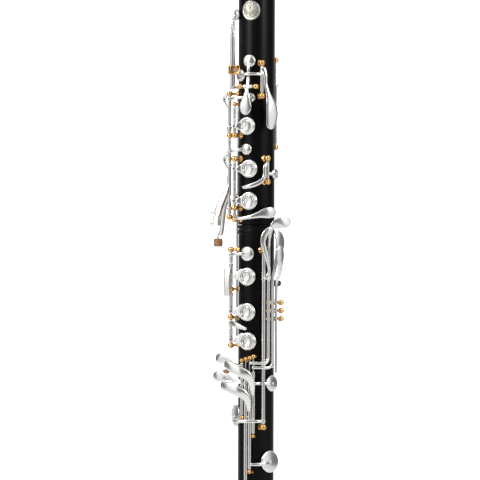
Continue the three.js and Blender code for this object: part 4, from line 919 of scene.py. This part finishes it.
def fluted(name, profile, base, axis, threshold, body, node, flutes, depth):
    """A knurled screw head: every radius over the threshold is scalloped."""
    across = axis.orthogonal().normalized()
    other = axis.cross(across)
    rings = []
    for r, h in eased(profile, 0.25):
        ring = []
        for k in range(flutes * 6):
            turn = 2 * pi * k / (flutes * 6)
            radius = max(r, 0.001) - (depth * (0.5 + 0.5 * cos(turn * flutes)) if r > threshold else 0)
            ring.append(base + (across * cos(turn) + other * sin(turn)) * (radius * MM) + axis * (h * MM))
        rings.append(ring)
    make(name, *skin(rings), SILVER, body, (node,), sharp=50)


NECK_BEND = 46
NECK_STRAIGHT = 352
NECK_TURN = radians(72)
BLOW = Vector((0, sin(NECK_TURN), cos(NECK_TURN)))
BEAK_UP = Vector((0, -cos(NECK_TURN), sin(NECK_TURN)))
NECK_END = (NECK_BEND * (1 - cos(NECK_TURN)) + 26 * BLOW.y,
    NECK_STRAIGHT + NECK_BEND * sin(NECK_TURN) + 26 * BLOW.z)
MOUTH = design(0, *NECK_END) - BLOW * (14 * MM)


def neck():
    rings = []
    for z in (278.2, 283.4):
        rings.append(ring_at(design(0, 0, z), UP, 12.5, 72))
    collar = [(12.8, 283.6), (13.9, 284), (13.9, 287), (13.3, 288), (13.3, 312), (13.9, 313), (13.9, 316),
        (13.4, 317)]
    for radius, z in collar:
        rings.append(ring_at(design(0, 0, z), UP, radius, 72))
    rings.append(ring_at(design(0, 0, 318.2), UP, 12.5, 72))
    rings.append(ring_at(design(0, 0, NECK_STRAIGHT - 2), UP, 12.5, 72))
    for i in range(25):
        turn = NECK_TURN * i / 24
        spot = design(0, NECK_BEND * (1 - cos(turn)), NECK_STRAIGHT + NECK_BEND * sin(turn))
        rings.append(ring_at(spot, Vector((0, sin(turn), cos(turn))), 12.5, 72))
    for along, radius in ((25, 12.5), (25.5, 12.1), (25.6, 11)):
        spot = design(0, NECK_END[0], NECK_END[1]) + BLOW * ((along - 26) * MM)
        rings.append(ring_at(spot, BLOW, radius, 72))
    make("neck_tube", *skin(rings), SILVER, "neck", ("neck",), sharp=30)
    band = [(12.4, 4), (13.8, 4.4), (14.2, 5.4), (14.2, 9.6), (13.8, 10.6), (12.4, 11)]
    turned("neck_end_band", band, MOUTH - BLOW * (11.5 * MM), BLOW, SILVER, "neck", ("neck",), 0.4, 72,
        True)


def mouthpiece():
    rings = []
    rows = [(0.1, 15.2), (0.6, 15.9), (3, 16.2), (4, 15.6), (19, 15.4), (20, 15.9), (22, 15.9), (26, 14.9),
        (31, 14.8), (38, 14.7), (46, 14.6), (54, 14.5), (62, 14.2), (70, 13.8), (78, 13.4), (85, 13),
        (90.6, 12.6), (91.9, 12.2)]
    for along, radius in rows:
        ring = []
        top = 16 - (along - 44) * 22.4 / 50 if along > 44 else 99
        low = -9.4 if along > 30 else -99
        for k in range(96):
            turn = 2 * pi * k / 96
            up = min(max(radius * sin(turn), low), top)
            ring.append(MOUTH + BLOW * (along * MM) + Vector((radius * cos(turn), 0,
                0)) * MM + BEAK_UP * (up * MM))
        rings.append(ring)
    make("mouthpiece_ebonite", *skin(rings), EBONITE, "neck", ("mouthpiece",), sharp=32)


def reed():
    rows = [(30.6, 7.2, -12.6), (33, 7.3, -12.7), (48, 7.2, -12.6), (54, 7.1, -12.3), (66, 7, -11.5),
        (80, 7, -10.7), (90.6, 6.9, -10.2)]
    rings = []
    for along, half, low in rows:
        ring = []
        for k in range(48):
            turn = 2 * pi * k / 48
            across = half * max(-1, min(1, 1.25 * cos(turn)))
            up = -9.8 if sin(turn) > 0 else -9.8 + (low + 9.8) * abs(sin(turn)) ** 0.6
            ring.append(MOUTH + BLOW * (along * MM) + Vector((across, 0, 0)) * MM + BEAK_UP * (up * MM))
        rings.append(ring)
    make("reed_cane", *skin(rings), CANE, "neck", ("reed",), sharp=40)


def ligature():
    band = [(16.1, 33.2), (16.5, 33.2), (17.1, 33.6), (17.1, 36), (16.7, 36.8), (16.7, 52.4), (17.1, 53.2),
        (17.1, 55.4), (16.5, 55.8), (16.1, 55.8)]
    turned("ligature_band", band, MOUTH, BLOW, SILVER, "neck", ("ligature",), 0.2, 72, True)
    for name, along in (("ligature_screw_1", 39), ("ligature_screw_2", 50)):
        at = MOUTH + BLOW * (along * MM) - BEAK_UP * (20.6 * MM)
        shank = [(0, -6), (1.2, -6), (1.5, -5.6), (1.5, 8.2), (2.4, 8.4), (3, 8.8), (3.3, 9.6), (3.3, 12.6),
            (2.8, 13.8), (1, 14), (0, 14)]
        fluted(name + "_screw", shank, at, Vector((1, 0, 0)), 3.1, name, name, 14, 0.3)
        for side in (1, -1):
            lug = [(0, -2.2), (2.6, -2.2), (2.6, 2.2), (0, 2.2)]
            spot = MOUTH + BLOW * (along * MM) - BEAK_UP * (18.6 * MM) + Vector((side * 4.2 * MM, 0, 0))
            turned(f"ligature_lug_{along}_{side + 2}", lug, spot, Vector((1, 0, 0)), SILVER, "neck",
                ("ligature",), 0.4, 24)


# ---- Back of the instrument ----
def strap_ring():
    at = JOINT_LINE + UP * (30 * MM)
    foot = [(0, 18.3), (5.8, 18.5), (5.8, 19.4), (5, 20.1), (2.4, 20.4), (1.9, 21.6), (0, 21.6)]
    turned("strap_ring_foot", foot, at, outward(180), SILVER, "body", ("strap_ring",), 0.3, 48)
    turned("strap_ring_eye",
        [(5.1 + 1.45 + 1.45 * cos(radians(t)), 1.45 * sin(radians(t))) for t in range(0, 360, 20)],
        station(180, 27.5, 30), Vector((1, 0, 0)), SILVER, "body", ("strap_ring",), 0.05, 72, True)


def thumb_rest():
    base = JOINT_LINE + UP * (-58.5 * MM)
    plate = [base + UP * (z * MM) + Vector((0, 19.5 * MM, 0)) for z in (-3.8, 4, 18, 25.8)]
    block("thumb_rest_plate", plate, 6.8, 0.9, Vector((0, 1, 0)), SILVER, "thumb_rest")
    hook = [base + Vector((0, y * MM, 0)) for y in (19.2, 30, 40, 45.8)]
    block("thumb_rest_hook", hook, 7.8, 0.9, UP, SILVER, "thumb_rest")
    for z in (10, 20):
        screw = [(0, 20.2), (2.2, 20.2), (2.2, 20.5), (0.6, 20.6), (0.5, 20.35), (0, 20.35)]
        turned(f"thumb_rest_screw_{z}", screw, base + UP * (z * MM), Vector((0, 1, 0)), STEEL, "body",
            ("thumb_rest",), 0.1, 24)
    cushion = [base + Vector((0, y * MM, 0)) for y in (27.2, 33, 41, 47.2)]
    block("thumb_rest_cushion", cushion, 9.8, 3.3, UP, RUBBER, "thumb_rest_pad")


# ---- Stage, light and camera ----
def floor():
    low = min(CAD_BOX[0][2], CAD_BOX[1][2])
    corners = [(FLOOR_R * cos(radians(t)), FLOOR_R * sin(radians(t)), low) for t in range(0, 360, 3)]
    mesh = bpy.data.meshes.new("floor")
    mesh.from_pydata(corners, [], [tuple(range(len(corners)))])
    made, tree, shader = material("floor_paper", "", (0.82, 0.82, 0.82), 0, 0.9)
    tree.links.new(ramp(tree, noise(tree, 3, 4).outputs["Fac"], (0.8, 0.8, 0.8), (0.84, 0.84, 0.84)),
        shader.inputs["Base Color"])
    mesh.materials.append(made)
    plane = bpy.data.objects.new("floor", mesh)
    bpy.context.scene.collection.objects.link(plane)


def combined(tree, kind, a, b):
    node = tree.nodes.new("ShaderNodeMath")
    node.operation = kind
    for socket, value in zip(node.inputs, (a, b)):
        if isinstance(value, (int, float)):
            socket.default_value = value
        else:
            tree.links.new(value, socket)
    return node.outputs[0]


def stepped(tree, value, low, high):
    node = tree.nodes.new("ShaderNodeMapRange")
    node.interpolation_type = "SMOOTHSTEP"
    node.inputs["From Min"].default_value = low
    node.inputs["From Max"].default_value = high
    tree.links.new(value, node.inputs["Value"])
    return node.outputs["Result"]


def towards(tree, level, azimuth):
    """How nearly a level direction points to an azimuth: 1 straight at it."""
    node = tree.nodes.new("ShaderNodeVectorMath")
    node.operation = "DOT_PRODUCT"
    tree.links.new(level, node.inputs[0])
    node.inputs[1].default_value = outward(azimuth)
    return node.outputs["Value"]


def level_direction(tree, where):
    flat = tree.nodes.new("ShaderNodeVectorMath")
    flat.operation = "MULTIPLY"
    tree.links.new(where, flat.inputs[0])
    flat.inputs[1].default_value = (1, 1, 0)
    level = tree.nodes.new("ShaderNodeVectorMath")
    level.operation = "NORMALIZE"
    tree.links.new(flat.outputs["Vector"], level.inputs[0])
    return level.outputs["Vector"]


def studio_light(tree):
    """Brightness in each direction: a wall behind, tall strips in front, a soft sky and a faint ground."""
    where = tree.nodes.new("ShaderNodeTexCoord").outputs["Generated"]
    level = level_direction(tree, where)
    height = tree.nodes.new("ShaderNodeSeparateXYZ")
    tree.links.new(where, height.inputs["Vector"])
    z = height.outputs["Z"]
    behind = stepped(tree, towards(tree, level, VIEW_AZIMUTH + 180), cos(radians(58)), cos(radians(34)))
    light = combined(tree, "ADD", combined(tree, "MULTIPLY", behind, BEHIND), BASE)
    for azimuth, strength in STRIPS:
        strip = stepped(tree, towards(tree, level, azimuth), cos(radians(30)), cos(radians(7)))
        strip = combined(tree, "MULTIPLY", strip, stepped(tree, z, -0.75, 0.1))
        light = combined(tree, "ADD", light, combined(tree, "MULTIPLY", strip, strength))
    light = combined(tree, "ADD", light, combined(tree, "MULTIPLY", stepped(tree, z, 0.1, 0.8), SKY))
    return combined(tree, "ADD", light, combined(tree, "MULTIPLY", stepped(tree, z, 0.1, -0.7), GROUND))


def world():
    """A white backdrop that only the camera sees, and the studio for everything else."""
    made = bpy.data.worlds.new("studio")
    made.use_nodes = True
    bpy.context.scene.world = made
    tree = made.node_tree
    nodes, links = tree.nodes, tree.links
    nodes.clear()
    studio = nodes.new("ShaderNodeBackground")
    links.new(studio_light(tree), studio.inputs["Strength"])
    studio.inputs["Color"].default_value = (1, 1, 1, 1)
    white = nodes.new("ShaderNodeBackground")
    white.inputs["Strength"].default_value = BACKDROP
    white.inputs["Color"].default_value = (1, 1, 1, 1)
    path = nodes.new("ShaderNodeLightPath")
    mix = nodes.new("ShaderNodeMixShader")
    links.new(path.outputs["Is Camera Ray"], mix.inputs["Fac"])
    links.new(studio.outputs["Background"], mix.inputs[1])
    links.new(white.outputs["Background"], mix.inputs[2])
    output = nodes.new("ShaderNodeOutputWorld")
    links.new(mix.outputs["Shader"], output.inputs["Surface"])


def softboxes():
    """Two tall soft lights high in front, whose streaks fade down the wood."""
    for i, (azimuth, distance, height, power) in enumerate(SOFTBOXES):
        data = bpy.data.lights.new(f"softbox_{i + 1}", "AREA")
        data.shape = "RECTANGLE"
        data.size = 0.35
        data.size_y = 0.7
        data.energy = power
        lamp = bpy.data.objects.new(f"softbox_{i + 1}", data)
        spot = JOINT_LINE + outward(azimuth) * distance + UP * height
        lamp.location = spot
        lamp.rotation_euler = (JOINT_LINE + UP * 0.1 - spot).to_track_quat("-Z", "Y").to_euler()
        bpy.context.scene.collection.objects.link(lamp)


def camera():
    data = bpy.data.cameras.new("camera")
    data.lens = LENS
    data.sensor_width = SENSOR
    data.clip_end = 20
    data.dof.use_dof = False
    made = bpy.data.objects.new("camera", data)
    look = outward(VIEW_AZIMUTH)
    right = sideways(VIEW_AZIMUTH)
    aim = JOINT_LINE + UP * (AIM_UP * MM) - right * (AIM_LEFT * MM)
    basis = Matrix((right, UP, look)).transposed().to_4x4()
    roll = Matrix.Rotation(radians(CAMERA_ROLL), 4, "Z")
    made.matrix_world = Matrix.Translation(aim + look * CAMERA_DISTANCE) @ basis @ roll
    bpy.context.scene.collection.objects.link(made)
    bpy.context.scene.camera = made
    bpy.context.scene.view_settings.view_transform = "Standard"


wooden_joints()
socket_and_badge()
line_posts()
pinky_posts()
lever_and_throat_posts()
spring_rods()
register_saddle()
register_and_throat_keys()
g_sharp_key()
side_key_high()
side_key_low()
left_hand_keys()
thumb_keys()
right_hand_keys()
left_levers()
little_finger_keys()
little_finger_corks()
bell()
peg()
neck()
mouthpiece()
reed()
ligature()
strap_ring()
thumb_rest()
floor()
world()
softboxes()
camera()
